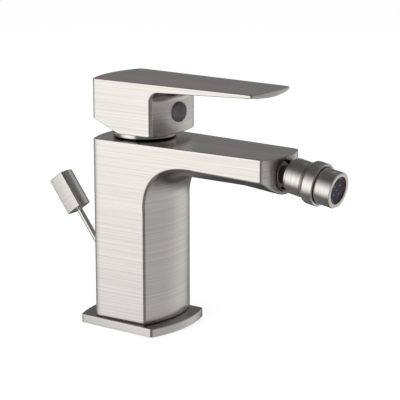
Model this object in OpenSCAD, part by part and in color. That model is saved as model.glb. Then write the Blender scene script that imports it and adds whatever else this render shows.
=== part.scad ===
// Single lever bidet mixer with a ball jointed spray nozzle and a waste lift rod.
// Origin: centre of the base on the deck. +X runs along the spout, +Z is up. Millimetres.

/* [Base] */
// Half length of the base plate along the spout, measured at its corners
plate_half_x = 27.3; // [25.5:0.1:29]
// Half width of the base plate across the spout
plate_half_y = 27.3; // [26.6:0.1:29]
// Rounding of the upright edges of the base plate
plate_round = 2.5; // [1:0.1:4]
// Thickness of the base plate
plate_t = 5.4; // [4:0.1:7]
// Radius of the bowed front and back edges of the base plate
plate_bow_r = 70; // [60:1:90]
// Radius of the round foot of the body that centres the base plate
foot_r = 16.9; // [16.5:0.1:17.4]
// Thickness of the sealing ring let into the base plate
gasket_t = 1.6; // [1:0.1:2.4]
// Width of the sealing ring, measured along its radius
gasket_w = 4.2; // [3:0.1:4.8]
// Wall left between the foot opening and the sealing ring
gasket_wall = 2.1; // [1.6:0.1:2.6]

/* [Fixings and inlets] */
// Distance between the two stud holes, across the spout
stud_spacing = 26; // [24:0.5:27]
// Radius of the stud holes, for M6 studs
stud_hole_r = 2.5; // [2:0.1:3]
// Depth of the stud holes
stud_hole_depth = 14; // [8:1:20]
// Distance of the two supply inlets in front of the origin
inlet_x = 7.5; // [6.5:0.1:8.5]
// Distance between the two supply inlets
inlet_spacing = 13; // [12:0.1:13.6]
// Radius of the inlet threads, for M10 x 1 hoses
inlet_r = 4.5; // [4:0.1:4.8]
// Depth of the inlet threads
inlet_depth = 12; // [8:1:18]
// Radius of the drilled supply passages above the inlets
passage_r = 3; // [2:0.1:3.4]
// Radius of the water way through the spout
waterway_r = 7; // [4.5:0.1:7.5]

/* [Column and spout] */
// Rear corners of the body, behind the origin
body_rear_x = 16.9; // [15:0.1:19]
// Front corners of the column, in front of the origin
column_front_x = 19.8; // [19:0.1:22]
// Corners of the spout tip, in front of the origin
tip_x = 100.9; // [97:0.1:108]
// Half width of the body at its rear corners
body_rear_half = 25.8; // [25.2:0.1:27]
// Half width of the spout at its tip
tip_half = 20.2; // [19:0.1:21]
// Height of the flat top of the body above the deck
body_top_z = 118.4; // [116:0.1:130]
// Radius of the bowed front and back of the column
column_bow_r = 58; // [50:1:75]
// Radius of the bowed face of the spout tip
tip_bow_r = 38.5; // [34:0.5:46]
// Rounding of the upright edges of the column
column_round = 2.5; // [1:0.1:4]
// Rounding of the upright edges of the spout tip
tip_round = 1.4; // [0.5:0.1:3]
// Depth of the spout from its top to the lowest line of its belly
spout_depth = 20.4; // [20:0.1:22]
// Radius of the belly under the spout, seen from the front
belly_r = 34; // [30:0.5:40]
// Radius of the rounder boss under the spout tip
boss_r = 25; // [23.5:0.5:27]
// How far the boss hangs below the belly at the tip
boss_drop = 2.6; // [1:0.1:4]
// Length over which the boss comes out of the belly
boss_run = 29; // [22:1:36]
// Radius of the hollow sweep between column and spout
sweep_r = 28; // [22:1:32]

/* [Cartridge] */
// Distance of the cartridge axis in front of the origin
cart_x = 3; // [2:0.1:4]
// Radius of the cartridge
cart_r = 17.35; // [16.5:0.05:17.5]
// Depth of the cartridge seat below the top of the body
seat_depth = 28.4; // [28:0.1:32]
// Radius of the threaded mouth that holds the retaining nut
nut_thread_r = 18.9; // [18.6:0.1:19.4]
// Depth of the threaded mouth
nut_thread_depth = 6.4; // [5.6:0.1:8]
// Thickness of the cartridge base with its ports
cart_base_t = 4.5; // [4:0.1:6]
// Thickness of each of the two ceramic discs
disc_t = 3.3; // [2.8:0.1:3.6]
// Radius of the fixed ceramic disc
fixed_disc_r = 15.2; // [15:0.1:15.3]
// Radius of the sliding ceramic disc
moving_disc_r = 11.4; // [10.5:0.1:11.8]
// Thickness of the carrier that drives the sliding disc
carrier_t = 3.1; // [2.6:0.1:3.3]
// Radius of the cartridge neck around the rotor
neck_r = 13.4; // [13.2:0.1:13.8]
// Radius of the rotor that turns in the neck
rotor_r = 12.2; // [12:0.1:12.4]
// Height of the lift pivot above the cartridge seat
pivot_height = 22.5; // [21.5:0.1:23]
// Radius of the pivot pin
pin_r = 1.5; // [1.2:0.1:2]
// Side of the square spindle
spindle_side = 8; // [7:0.1:8.5]
// Length of the spindle finger from the pivot to the centre of its ball end
finger_length = 7.9; // [7.4:0.1:8.2]
// Radius of the ball end of the spindle finger
finger_r = 2.5; // [2:0.1:2.7]
// Radius of the round collar ring under the handle
collar_r = 19.6; // [19:0.1:20]
// Height of the collar ring
collar_h = 3.9; // [3.4:0.1:4]

/* [Handle] */
// Rear corners of the handle, behind the origin
handle_rear_x = 17.9; // [17:0.1:19.5]
// Front corners of the handle block, in front of the origin
handle_front_x = 24.1; // [23.5:0.1:26]
// Corners of the lever tip, in front of the origin
lever_tip_x = 94.7; // [85:0.1:105]
// Half width of the handle at its rear corners
handle_rear_half = 24.3; // [23.8:0.1:25.5]
// Half width of the lever at its tip
lever_tip_half = 20.3; // [16:0.1:21]
// Height of the handle block
handle_h = 32.2; // [31:0.1:36]
// Gap between the top of the body and the handle
handle_gap = 4.4; // [4.4:0.1:5.4]
// Radius of the bowed front and back of the handle
handle_bow_r = 57; // [50:1:75]
// Radius of the slightly bowed lever tip
lever_bow_r = 102; // [80:1:140]
// Rounding of the upright edges of the handle block
handle_round = 2.2; // [1:0.1:4]
// Rounding of the upright edges of the lever tip
lever_round = 1.8; // [0.5:0.1:3]
// Thickness of the lever at mid width where it leaves the block
lever_root_t = 6.5; // [6:0.1:8]
// Thickness of the lever at mid width at its tip
lever_tip_t = 3.4; // [3:0.1:5]
// Radius of the crowned underside of the lever
lever_crown_r = 142; // [120:1:200]
// Radius of the hollow corner between block and lever
lever_fillet_r = 6.3; // [5:0.1:8]
// Length of the bevel under the back of the handle
bevel_length = 18.5; // [17:0.1:19]
// Height of the bevel under the back of the handle
bevel_height = 7.85; // [7.5:0.05:8.4]
// Radius of the hollow inside the handle
handle_bore_r = 20.2; // [20.1:0.1:20.6]
// Thickness of the roof of the hollow handle
handle_roof_t = 7; // [5:0.1:9]
// Radius of the boss that grips the spindle
grip_boss_r = 8.5; // [8:0.1:9]
// Height of the set screw above the foot of the handle
screw_height = 13; // [12.5:0.1:14]
// Radius of the set screw
screw_r = 2.5; // [2:0.1:3]
// Length of the set screw
screw_length = 9; // [7:0.5:11]
// Radius of the round cover plug on the front of the handle
plug_r = 6.2; // [5:0.1:7]
// How far the cover plug stands out
plug_out = 3; // [1:0.1:4]
// Radius of the hot and cold marks
mark_r = 2.4; // [1.5:0.1:3]
// Distance of each mark from the middle of the handle
mark_y = 18; // [15:0.1:19]
// Depth of the marks
mark_t = 0.5; // [0.3:0.1:1]

/* [Nozzle] */
// Depth of the nozzle axis below the top of the spout
socket_depth = 11.5; // [11.2:0.1:11.8]
// Radius of the bush let into the spout tip
bush_r = 9.5; // [9:0.1:9.6]
// Length of the bush
bush_length = 8.1; // [7.5:0.1:9]
// How far the bush stands in front of the tip corners
bush_out = 4.7; // [4:0.1:5]
// Distance from the tip corners to the centre of the ball
ball_out = 11.5; // [11.3:0.1:13]
// Radius of the ball
ball_r = 8.4; // [8.2:0.1:8.5]
// Angle of the nozzle below the level, as it stands
nozzle_tilt = 9.5; // [0:0.5:10]
// Radius of the water way through the ball stem
stem_bore_r = 3.2; // [2.5:0.1:3.5]
// Radius of the thread behind the ball
stem_thread_r = 6.4; // [6:0.1:6.6]
// Radius of the neck behind the ball
stem_neck_r = 5.2; // [4.8:0.1:5.4]
// Radius of the rear sleeve
sleeve_r = 10.65; // [10.5:0.05:11]
// How far the rear sleeve reaches behind the ball centre
sleeve_back = 1.4; // [1:0.1:1.6]
// Distance from the ball centre to the joint of sleeve and collar
seam_s = 8.5; // [8.2:0.1:9.5]
// Radius of the front collar
nozzle_collar_r = 12.8; // [12:0.1:13.4]
// Length of the front collar
nozzle_collar_length = 9.6; // [9:0.1:12]
// Radius of the aerator housing
aerator_r = 10.75; // [10.4:0.05:11]
// How far the aerator housing stands out of the collar
aerator_out = 10.5; // [8:0.1:14]
// Radius of the mouth of the aerator
mouth_r = 8.15; // [7.5:0.05:8.3]
// Distance from one hole of the aerator screen to the next
screen_pitch = 1.3; // [1.2:0.05:2]

/* [Waste lift rod] */
// Lean of the lift rod from the upright
rod_lean = 37; // [34:0.5:40]
// Where the rod axis meets the deck, behind the origin
rod_foot_x = 1.7; // [1:0.1:3]
// Radius of the lift rod
rod_r = 1.8; // [1.5:0.1:2]
// Distance along the rod from the deck to the knob
knob_start = 81; // [75:0.5:90]
// Length of the knob
knob_length = 24.8; // [20:0.1:30]
// Depth of the knob between its corners
knob_depth = 11.7; // [9:0.1:13]
// Width of the knob between its flat sides
knob_width = 11; // [9:0.1:13]
// Radius of the bowed front and back of the knob
knob_bow_r = 13.2; // [10:0.1:20]
// Radius of the guide bush in the back of the column
rod_bush_r = 3.2; // [3:0.1:3.5]
// Length of the guide bush
rod_bush_length = 9; // [7:0.5:10]

/* [Fits] */
// Clearance on the radius between pieces that move on each other
run_gap = 0.06; // [0.03:0.01:0.09]
// Clearance on the radius between pieces that are fixed together
fit_gap = 0.03; // [0.02:0.01:0.05]

/* [Hidden] */
$fn = 64;
bow_fn = 180;
far = 200;
eps = 0.01;

// Finishes
nickel = [0.72, 0.70, 0.66];
bright_nickel = [0.80, 0.79, 0.76];
dark_plastic = [0.25, 0.25, 0.26];
black_rubber = [0.10, 0.10, 0.11];
white_plastic = [0.90, 0.90, 0.88];
ceramic_white = [0.95, 0.94, 0.90];
raw_brass = [0.78, 0.62, 0.32];
steel = [0.62, 0.63, 0.65];

// Plan of body and handle
body_taper = (body_rear_half - tip_half) / (tip_x + body_rear_x);
function body_half(x) = body_rear_half - body_taper * (x + body_rear_x);
handle_taper = (handle_rear_half - lever_tip_half) / (lever_tip_x + handle_rear_x);
function handle_half(x) = handle_rear_half - handle_taper * (x + handle_rear_x);
function bow_height(bow_r, half) = bow_r - sqrt(bow_r * bow_r - half * half);
column_front = column_front_x + bow_height(column_bow_r, body_half(column_front_x));
column_back = body_rear_x + bow_height(column_bow_r, body_rear_half);
tip_front = tip_x + bow_height(tip_bow_r, tip_half);
handle_front = handle_front_x + bow_height(handle_bow_r, handle_half(handle_front_x));
handle_back = handle_rear_x + bow_height(handle_bow_r, handle_rear_half);

// Spout
column_axis_x = column_front - column_bow_r;
belly_bottom_z = body_top_z - spout_depth;
belly_axis_z = belly_bottom_z + belly_r;
boss_angle = atan(boss_drop / boss_run);
boss_start_x = tip_front - boss_run;
sweep_lap = 0.5;
sweep_depth = 5;
sweep_low = -50.5;
sweep_high = 30.5;
sweep_side = 38;
column_reach = column_bow_r + sweep_r - sweep_lap;
belly_reach = belly_r + sweep_r - sweep_lap;
track_lean = atan(column_reach / belly_reach);
track_sag = norm([bow_height(column_reach, sweep_side), bow_height(belly_reach, sweep_side)]);
track_r = (sweep_side * sweep_side + track_sag * track_sag) / (2 * track_sag);
track_x = column_axis_x + column_reach - track_r * cos(track_lean);
track_z = belly_axis_z - belly_reach + track_r * sin(track_lean);

// Cartridge levels, upwards from the seat
seat_z = body_top_z - seat_depth;
cart_base_z = seat_z + cart_base_t;
fixed_disc_z = cart_base_z + fit_gap;
moving_disc_z = fixed_disc_z + disc_t + run_gap;
carrier_z = moving_disc_z + disc_t + fit_gap;
rotor_z = carrier_z + carrier_t + 0.2;
cart_wall = 1.8;
flange_t = 3.2;
web_z = rotor_z + flange_t + run_gap;
web_t = 2.4;
shoulder_z = body_top_z - nut_thread_depth + 1.5;
neck_top_z = body_top_z + 1.1;
rotor_top_z = body_top_z + 0.2;
pivot_z = seat_z + pivot_height;
slot_half_x = 9.4;
slot_side_gap = 0.2;
nut_top_z = body_top_z + collar_h - 0.9;
nut_hub_r = collar_r - 2;
port_x = inlet_x - cart_x;
port_seal_r = passage_r + 1.6;
port_seal_t = 1.5;
pocket_depth = 0.6 * disc_t;
pocket_half_y = inlet_spacing / 2 + 1.5;
pocket_front = 0.5;
pocket_back = 7;

// Handle
handle_foot_z = body_top_z + handle_gap;
handle_top_z = handle_foot_z + handle_h;
handle_roof_z = handle_top_z - handle_roof_t;
spindle_top_z = handle_roof_z - 6.5;
grip_boss_z = handle_foot_z + 4.2;
screw_z = handle_foot_z + screw_height;
screw_start_x = cart_x + spindle_side / 2 + fit_gap;
plug_seat = 0.6;
plug_stem_r = screw_r + 0.5;
plug_stem_length = 4;
lever_slope = atan((lever_root_t - lever_tip_t) / (lever_tip_x - handle_front));
lever_root_z = handle_top_z - lever_root_t;
handle_bow_x = handle_front - handle_bow_r;
lever_front = lever_tip_x + bow_height(lever_bow_r, lever_tip_half);
lever_fillet_lap = 0.1;
mark_x = handle_back - 6;

// Nozzle, distances along its axis from the ball centre
socket_z = body_top_z - socket_depth;
ball_x = tip_x + ball_out;
bush_front_x = tip_x + bush_out;
bush_back_x = bush_front_x - bush_length;
bush_web = 2.7;
bush_mouth_r = bush_r - 0.9;
washer_t = 0.9;
stem_flange_t = 2;
stem_flange_r = bush_mouth_r - 0.8;
stem_back_x = bush_back_x - 9;
lip_r = sleeve_r - 1.25;
lip_back = sleeve_back + 1.8;
seat_shell_r = ball_r + 0.8;
cavity_r = seat_shell_r + run_gap;
cavity_start = 0.4;
spigot_start = 2;
spigot_r = sleeve_r - 1.05;
collar_bore_r = 4.5;
chamber_s = seam_s + 1.9;
chamber_r = aerator_r - 0.9;
collar_front_s = seam_s + nozzle_collar_length;
collar_recess = 2.5;
collar_lip = 1.4;
aerator_front_s = collar_front_s + aerator_out;
aerator_bore_r = mouth_r + 0.4;
mouth_lip = 1.1;
screen_t = 1.2;
aerator_gasket_t = 2;
flat_depth = 0.6;
flat_length = 4.8;

// Ball seal
seal_ring_r = 0.55;
seal_s = -0.6;
seal_ring_centre = sqrt(pow(ball_r + run_gap + seal_ring_r, 2) - seal_s * seal_s);

// Lift rod, distances along it from the deck
rod_start = 2.2;
rod_back = (column_back - rod_foot_x) / sin(rod_lean);
rod_hole_r = rod_r + 0.5;
rod_in_knob = 9;
rod_bush_start = rod_back - rod_bush_length;
rod_seal_ring_r = 0.45;
rod_seal_s = rod_bush_start + 2;

// Outlines
module wedge_plan(half_back, taper, back_x) {
    start = -far / 4;
    end = far;
    start_half = half_back - taper * (start + back_x);
    end_half = half_back - taper * (end + back_x);
    polygon([[start, -start_half], [end, -end_half], [end, end_half], [start, start_half]]);
}

module bowed_front(front_x, bow_r) {
    union() {
        translate([front_x - bow_r, 0]) circle(r = bow_r, $fn = bow_fn);
        translate([-far, -far / 2]) square([far + front_x - bow_r, far]);
    }
}

module bowed_back(back_x, bow_r) {
    mirror([1, 0]) bowed_front(back_x, bow_r);
}

// Takes the sharp corners off where a bowed edge meets the two slanting sides. The rounding
// circle keeps its own radius from both, less a small lap that makes it cross them cleanly.
module corner_cuts(half_back, taper, back_x, bow_x, bow_r, round_r, front) {
    slant = norm([1, taper]);
    lap = 0.03;
    inner = half_back - taper * back_x - (round_r - lap) * slant;
    reach = bow_r - round_r + lap;
    mid = bow_x + inner * taper;
    root = sqrt(mid * mid - slant * slant * (bow_x * bow_x + inner * inner - reach * reach));
    centre_x = (mid + (front ? root : -root)) / (slant * slant);
    centre = [centre_x, inner - taper * centre_x];
    to_side = [taper, 1] / slant;
    to_bow = (centre - [bow_x, 0]) / norm(centre - [bow_x, 0]);
    outer = 2 * round_r;
    for (side = [0, 1]) mirror([0, side])
        difference() {
            polygon([
                centre,
                centre + outer * to_side,
                centre + 1.5 * outer * (to_side + to_bow),
                centre + outer * to_bow]);
            translate(centre) circle(r = round_r, $fn = 96);
        }
}

module column_plan() {
    difference() {
        intersection() {
            wedge_plan(body_rear_half, body_taper, body_rear_x);
            bowed_front(column_front, column_bow_r);
            bowed_back(column_back, column_bow_r);
        }
        corner_cuts(body_rear_half, body_taper, body_rear_x,
            column_axis_x, column_bow_r, column_round, true);
        corner_cuts(body_rear_half, body_taper, body_rear_x,
            column_bow_r - column_back, column_bow_r, column_round, false);
    }
}

module spout_plan() {
    difference() {
        intersection() {
            wedge_plan(body_rear_half, body_taper, body_rear_x);
            bowed_front(tip_front, tip_bow_r);
            translate([0, -far / 2]) square([far, far]);
        }
        corner_cuts(body_rear_half, body_taper, body_rear_x,
            tip_front - tip_bow_r, tip_bow_r, tip_round, true);
    }
}

module handle_block_plan() {
    difference() {
        intersection() {
            wedge_plan(handle_rear_half, handle_taper, handle_rear_x);
            bowed_front(handle_front, handle_bow_r);
            bowed_back(handle_back, handle_bow_r);
        }
        corner_cuts(handle_rear_half, handle_taper, handle_rear_x,
            handle_bow_x, handle_bow_r, handle_round, true);
        corner_cuts(handle_rear_half, handle_taper, handle_rear_x,
            handle_bow_r - handle_back, handle_bow_r, handle_round, false);
    }
}

module lever_plan() {
    difference() {
        intersection() {
            wedge_plan(handle_rear_half, handle_taper, handle_rear_x);
            bowed_front(lever_front, lever_bow_r);
            translate([0, -far / 2]) square([far, far]);
        }
        corner_cuts(handle_rear_half, handle_taper, handle_rear_x,
            lever_front - lever_bow_r, lever_bow_r, lever_round, true);
    }
}

module plate_plan() {
    plate_front = plate_half_x + bow_height(plate_bow_r, plate_half_y);
    difference() {
        intersection() {
            square([far, 2 * plate_half_y], center = true);
            bowed_front(plate_front, plate_bow_r);
            bowed_back(plate_front, plate_bow_r);
        }
        for (end = [0, 1]) mirror([end, 0])
            corner_cuts(plate_half_y, 0, 0, plate_front - plate_bow_r, plate_bow_r, plate_round, true);
    }
}

// Placing along an axis
module along_x(x, z) {
    translate([x, 0, z]) rotate([0, 90, 0]) children();
}

module at_ball() {
    translate([ball_x, 0, socket_z]) rotate([0, 90 + nozzle_tilt, 0]) children();
}

module along_rod(s) {
    translate([-rod_foot_x, 0, 0]) rotate([0, -rod_lean, 0]) translate([0, 0, s]) children();
}

module ring(outer_r, inner_r, h) {
    difference() {
        cylinder(r = outer_r, h = h);
        translate([0, 0, -eps]) cylinder(r = inner_r, h = h + 2 * eps);
    }
}

module torus(centre_r, ring_r) {
    rotate_extrude($fn = 96) translate([centre_r, 0]) circle(r = ring_r, $fn = 32);
}

// Base
module base_plate() {
    gasket_in = foot_r + gasket_wall;
    color(nickel)
    difference() {
        linear_extrude(plate_t) plate_plan();
        translate([0, 0, -1]) cylinder(r = foot_r + fit_gap, h = plate_t + 2);
        translate([0, 0, -1])
            ring(gasket_in + gasket_w + fit_gap, gasket_in - fit_gap, gasket_t + fit_gap + 1);
    }
}

module base_gasket() {
    gasket_in = foot_r + gasket_wall;
    color(black_rubber) ring(gasket_in + gasket_w, gasket_in, gasket_t);
}

// The hollow sweep between column and spout is the track of a ball that rolls along the
// bowed column face and the round belly. Its centre path is close to a slanting circle,
// so the sweep is the inner part of a torus that leans forwards.
module sweep_filler() {
    function edge(angle, r) = [track_r - r * cos(angle), r * sin(angle)];
    intersection() {
        translate([track_x, 0, track_z]) rotate([0, track_lean, 0])
        rotate_extrude($fn = bow_fn)
            difference() {
                polygon([
                    edge(sweep_low, sweep_r - 1),
                    edge(sweep_low, sweep_r + sweep_depth),
                    edge((sweep_low + sweep_high) / 2, sweep_r + 3 * sweep_depth),
                    edge(sweep_high, sweep_r + sweep_depth),
                    edge(sweep_high, sweep_r - 1)]);
                translate([track_r, 0]) circle(r = sweep_r, $fn = 96);
            }
        linear_extrude(body_top_z - 1) wedge_plan(body_rear_half, body_taper, body_rear_x);
    }
}

module spout_bar() {
    intersection() {
        translate([0, 0, belly_bottom_z - 2 * boss_drop])
            linear_extrude(spout_depth + 2 * boss_drop) spout_plan();
        union() {
            along_x(-1, belly_axis_z) cylinder(r = belly_r, h = tip_front + 10, $fn = bow_fn);
            translate([boss_start_x, 0, belly_bottom_z]) rotate([0, boss_angle, 0])
                along_x(-boss_run, boss_r) cylinder(r = boss_r, h = 2.5 * boss_run, $fn = bow_fn);
        }
    }
}

module body_outside() {
    union() {
        translate([0, 0, plate_t]) linear_extrude(body_top_z - plate_t) column_plan();
        spout_bar();
        sweep_filler();
        cylinder(r = foot_r, h = plate_t + 1);
    }
}

module body() {
    color(nickel)
    difference() {
        body_outside();
        // Cartridge chamber and its threaded mouth
        translate([cart_x, 0, seat_z]) cylinder(r = cart_r + fit_gap, h = far);
        translate([cart_x, 0, body_top_z - nut_thread_depth])
            cylinder(r = nut_thread_r + fit_gap, h = far);
        // Water way from the chamber to the nozzle
        along_x(cart_x, socket_z) cylinder(r = waterway_r, h = stem_back_x - cart_x);
        along_x(stem_back_x, socket_z) cylinder(r = stem_thread_r + fit_gap, h = far);
        along_x(bush_back_x, socket_z) cylinder(r = bush_r + fit_gap, h = far);
        // Supply inlets and stud holes in the foot
        for (side = [-1, 1]) {
            translate([inlet_x, side * inlet_spacing / 2, -1]) cylinder(r = inlet_r, h = inlet_depth + 1);
            translate([inlet_x, side * inlet_spacing / 2, 0]) cylinder(r = passage_r, h = seat_z + 1);
            translate([0, side * stud_spacing / 2, -1])
                cylinder(r = stud_hole_r, h = stud_hole_depth + 1);
        }
        // Slanting way of the lift rod
        along_rod(-10) cylinder(r = rod_hole_r, h = rod_back + 30);
        along_rod(rod_bush_start) cylinder(r = rod_bush_r + fit_gap, h = 40);
    }
}

// Cartridge
module ports(port_r, h) {
    for (side = [-1, 1]) translate([port_x, side * inlet_spacing / 2, 0]) cylinder(r = port_r, h = h);
}

module cartridge_base() {
    color(dark_plastic)
    translate([cart_x, 0, seat_z])
    difference() {
        cylinder(r = cart_r, h = cart_base_t);
        translate([0, 0, -1]) ports(passage_r, cart_base_t + 2);
        translate([0, 0, -1]) ports(port_seal_r + fit_gap, 1 + port_seal_t);
    }
}

module port_seals() {
    color(black_rubber)
    translate([cart_x, 0, seat_z])
    difference() {
        ports(port_seal_r, port_seal_t);
        translate([0, 0, -1]) ports(passage_r, port_seal_t + 2);
    }
}

module cartridge_housing() {
    color(dark_plastic)
    translate([cart_x, 0, 0])
    difference() {
        union() {
            translate([0, 0, cart_base_z]) cylinder(r = cart_r, h = shoulder_z - cart_base_z);
            translate([0, 0, cart_base_z]) cylinder(r = neck_r, h = neck_top_z - cart_base_z);
        }
        translate([0, 0, cart_base_z - 1]) cylinder(r = cart_r - cart_wall, h = web_z - cart_base_z + 1);
        translate([0, 0, web_z - 1]) cylinder(r = rotor_r + run_gap, h = far);
        // Window towards the spout
        along_x(0, socket_z - 3) cylinder(r = passage_r, h = cart_r + 2);
    }
}

module fixed_disc() {
    color(ceramic_white)
    translate([cart_x, 0, fixed_disc_z])
    difference() {
        cylinder(r = fixed_disc_r, h = disc_t);
        translate([0, 0, -1]) ports(passage_r - 0.4, disc_t + 2);
    }
}

module moving_disc() {
    color(ceramic_white)
    translate([cart_x, 0, moving_disc_z])
    difference() {
        cylinder(r = moving_disc_r, h = disc_t);
        // Mixing pocket in the sliding face, open to the rim behind
        translate([-pocket_back, -pocket_half_y, -1])
            cube([pocket_back + pocket_front, 2 * pocket_half_y, pocket_depth + 1]);
        translate([-far, -passage_r, -1]) cube([far, 2 * passage_r, pocket_depth + 1]);
    }
}

module disc_carrier() {
    tongue_h = 1.6;
    color(white_plastic)
    translate([cart_x, 0, carrier_z])
    difference() {
        union() {
            cylinder(r = moving_disc_r, h = carrier_t);
            translate([-5.5, -spindle_side / 2 - 0.1, 0])
                cube([11, spindle_side + 0.2, carrier_t + tongue_h]);
        }
        translate([0, 0, 0.5]) cylinder(r = finger_r + 2 * run_gap, h = far);
    }
}

module rotor() {
    color(white_plastic)
    translate([cart_x, 0, 0])
    difference() {
        union() {
            translate([0, 0, rotor_z]) cylinder(r = cart_r - cart_wall - 4 * run_gap, h = flange_t);
            translate([0, 0, rotor_z]) cylinder(r = rotor_r, h = rotor_top_z - rotor_z);
        }
        translate([-slot_half_x, -spindle_side / 2 - slot_side_gap, rotor_z - 1])
            cube([2 * slot_half_x, spindle_side + 2 * slot_side_gap, far]);
        translate([0, 0, pivot_z]) rotate([90, 0, 0]) cylinder(r = pin_r + fit_gap, h = far, center = true);
    }
}

module pivot_pin() {
    color(steel)
    translate([cart_x, 0, pivot_z]) rotate([90, 0, 0])
        cylinder(r = pin_r, h = 2 * rotor_r - 1.2, center = true);
}

module spindle() {
    hub_drop = 3.2;
    shank_r = finger_r - 0.6;
    color(raw_brass)
    translate([cart_x, 0, 0])
    difference() {
        union() {
            translate([-spindle_side / 2, -spindle_side / 2, pivot_z - hub_drop])
                cube([spindle_side, spindle_side, spindle_top_z - pivot_z + hub_drop]);
            translate([0, 0, pivot_z - finger_length]) cylinder(r = shank_r, h = finger_length);
            translate([0, 0, pivot_z - finger_length]) sphere(r = finger_r);
        }
        translate([0, 0, pivot_z]) rotate([90, 0, 0]) cylinder(r = pin_r + run_gap, h = far, center = true);
    }
}

module retaining_nut() {
    color(raw_brass)
    translate([cart_x, 0, 0])
    difference() {
        union() {
            translate([0, 0, shoulder_z]) cylinder(r = nut_thread_r, h = body_top_z - shoulder_z);
            translate([0, 0, shoulder_z]) cylinder(r = nut_hub_r, h = nut_top_z - shoulder_z);
        }
        translate([0, 0, shoulder_z - 1]) cylinder(r = neck_r + 0.15, h = far);
    }
}

module collar_ring() {
    lip_in = neck_r + 0.8;
    edge = 0.7;
    color(bright_nickel)
    translate([cart_x, 0, body_top_z])
    rotate_extrude($fn = 96)
        polygon([
            [nut_hub_r + fit_gap, 0],
            [collar_r - edge / 2, 0],
            [collar_r, edge / 2],
            [collar_r, collar_h - edge],
            [collar_r - edge, collar_h],
            [lip_in, collar_h],
            [lip_in, collar_h - 0.9 + fit_gap],
            [nut_hub_r + fit_gap, collar_h - 0.9 + fit_gap]]);
}

// Handle
module lever_slab() {
    intersection() {
        translate([0, 0, handle_top_z - 2 * lever_root_t]) linear_extrude(2 * lever_root_t) lever_plan();
        translate([handle_front, 0, lever_root_z]) rotate([0, -lever_slope, 0])
            along_x(-far / 2, lever_crown_r) cylinder(r = lever_crown_r, h = 1.5 * far, $fn = 2 * bow_fn);
    }
}

module lever_fillet() {
    corner_z = handle_top_z - lever_root_t + 1.7;
    centre_r = handle_bow_r + lever_fillet_r - lever_fillet_lap;
    intersection() {
        translate([handle_bow_x, 0, corner_z - lever_fillet_r])
        rotate_extrude($fn = bow_fn)
            difference() {
                translate([handle_bow_r - 3, 0]) square([lever_fillet_r + 3 - lever_fillet_lap, lever_fillet_r + 2]);
                translate([centre_r, 0]) circle(r = lever_fillet_r, $fn = 96);
            }
        translate([0, 0, handle_foot_z]) linear_extrude(handle_h - 1)
            intersection() {
                wedge_plan(handle_rear_half, handle_taper, handle_rear_x);
                translate([0, -far / 2]) square([far, far]);
            }
    }
}

module handle_bevel() {
    run = 3;
    rotate([90, 0, 0]) linear_extrude(far, center = true)
        polygon([
            [bevel_length - handle_rear_x, handle_foot_z],
            [bevel_length - handle_rear_x - run * bevel_length, handle_foot_z + run * bevel_height],
            [bevel_length - handle_rear_x - run * bevel_length, handle_foot_z - run],
            [bevel_length - handle_rear_x, handle_foot_z - run]]);
}

module spindle_socket() {
    side = spindle_side + 2 * fit_gap;
    translate([cart_x - side / 2, -side / 2, grip_boss_z - 1])
        cube([side, side, spindle_top_z + 0.5 - grip_boss_z + 1]);
}

module handle() {
    color(nickel)
    difference() {
        union() {
            translate([0, 0, handle_foot_z]) linear_extrude(handle_h) handle_block_plan();
            lever_slab();
            lever_fillet();
        }
        handle_bevel();
        difference() {
            translate([cart_x, 0, handle_foot_z - 1])
                cylinder(r = handle_bore_r, h = handle_roof_z - handle_foot_z + 1);
            translate([cart_x, 0, grip_boss_z]) cylinder(r = grip_boss_r, h = far);
        }
        spindle_socket();
        // Set screw thread, the way in for its key, and the seat of the cover plug
        along_x(cart_x, screw_z) cylinder(r = screw_r + fit_gap, h = grip_boss_r + 1);
        along_x(cart_x + grip_boss_r + 2, screw_z) cylinder(r = plug_stem_r + fit_gap, h = far);
        along_x(handle_front - bow_height(handle_bow_r, plug_r) - plug_seat, screw_z)
            cylinder(r = plug_r + fit_gap, h = far);
        for (side = [-1, 1])
            translate([-mark_x, side * mark_y, handle_top_z - mark_t]) cylinder(r = mark_r + fit_gap, h = 2);
    }
}

module set_screw() {
    key_r = screw_r * 0.55;
    color(steel)
    difference() {
        along_x(screw_start_x, screw_z) cylinder(r = screw_r, h = screw_length);
        along_x(screw_start_x + screw_length - 2.5, screw_z) cylinder(r = key_r, h = 5, $fn = 6);
    }
}

module handle_plug() {
    seat_x = handle_front - bow_height(handle_bow_r, plug_r) - plug_seat;
    front_x = handle_front + plug_out;
    edge = 0.9;
    color(dark_plastic)
    union() {
        along_x(seat_x, screw_z)
            rotate_extrude()
                polygon([
                    [0, 0],
                    [plug_r, 0],
                    [plug_r, front_x - seat_x - edge],
                    [plug_r - edge * 0.3, front_x - seat_x - edge * 0.3],
                    [plug_r - edge, front_x - seat_x],
                    [0, front_x - seat_x]]);
        along_x(seat_x - plug_stem_length, screw_z) cylinder(r = plug_stem_r, h = plug_stem_length + 1);
    }
}

module mark(side) {
    translate([-mark_x, side * mark_y, handle_top_z - mark_t]) cylinder(r = mark_r, h = mark_t);
}

module hot_mark() {
    color([0.72, 0.20, 0.16]) mark(-1);
}

module cold_mark() {
    color([0.16, 0.42, 0.66]) mark(1);
}

// Nozzle
module socket_bush() {
    color(bright_nickel)
    difference() {
        along_x(bush_back_x, socket_z) cylinder(r = bush_r, h = bush_length);
        along_x(bush_back_x + bush_web, socket_z) cylinder(r = bush_mouth_r, h = far);
        along_x(bush_back_x - 1, socket_z) cylinder(r = stem_thread_r + fit_gap, h = far);
    }
}

module stem_washer() {
    color(black_rubber)
    along_x(bush_back_x + bush_web, socket_z) ring(stem_flange_r, stem_thread_r + fit_gap, washer_t);
}

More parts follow.
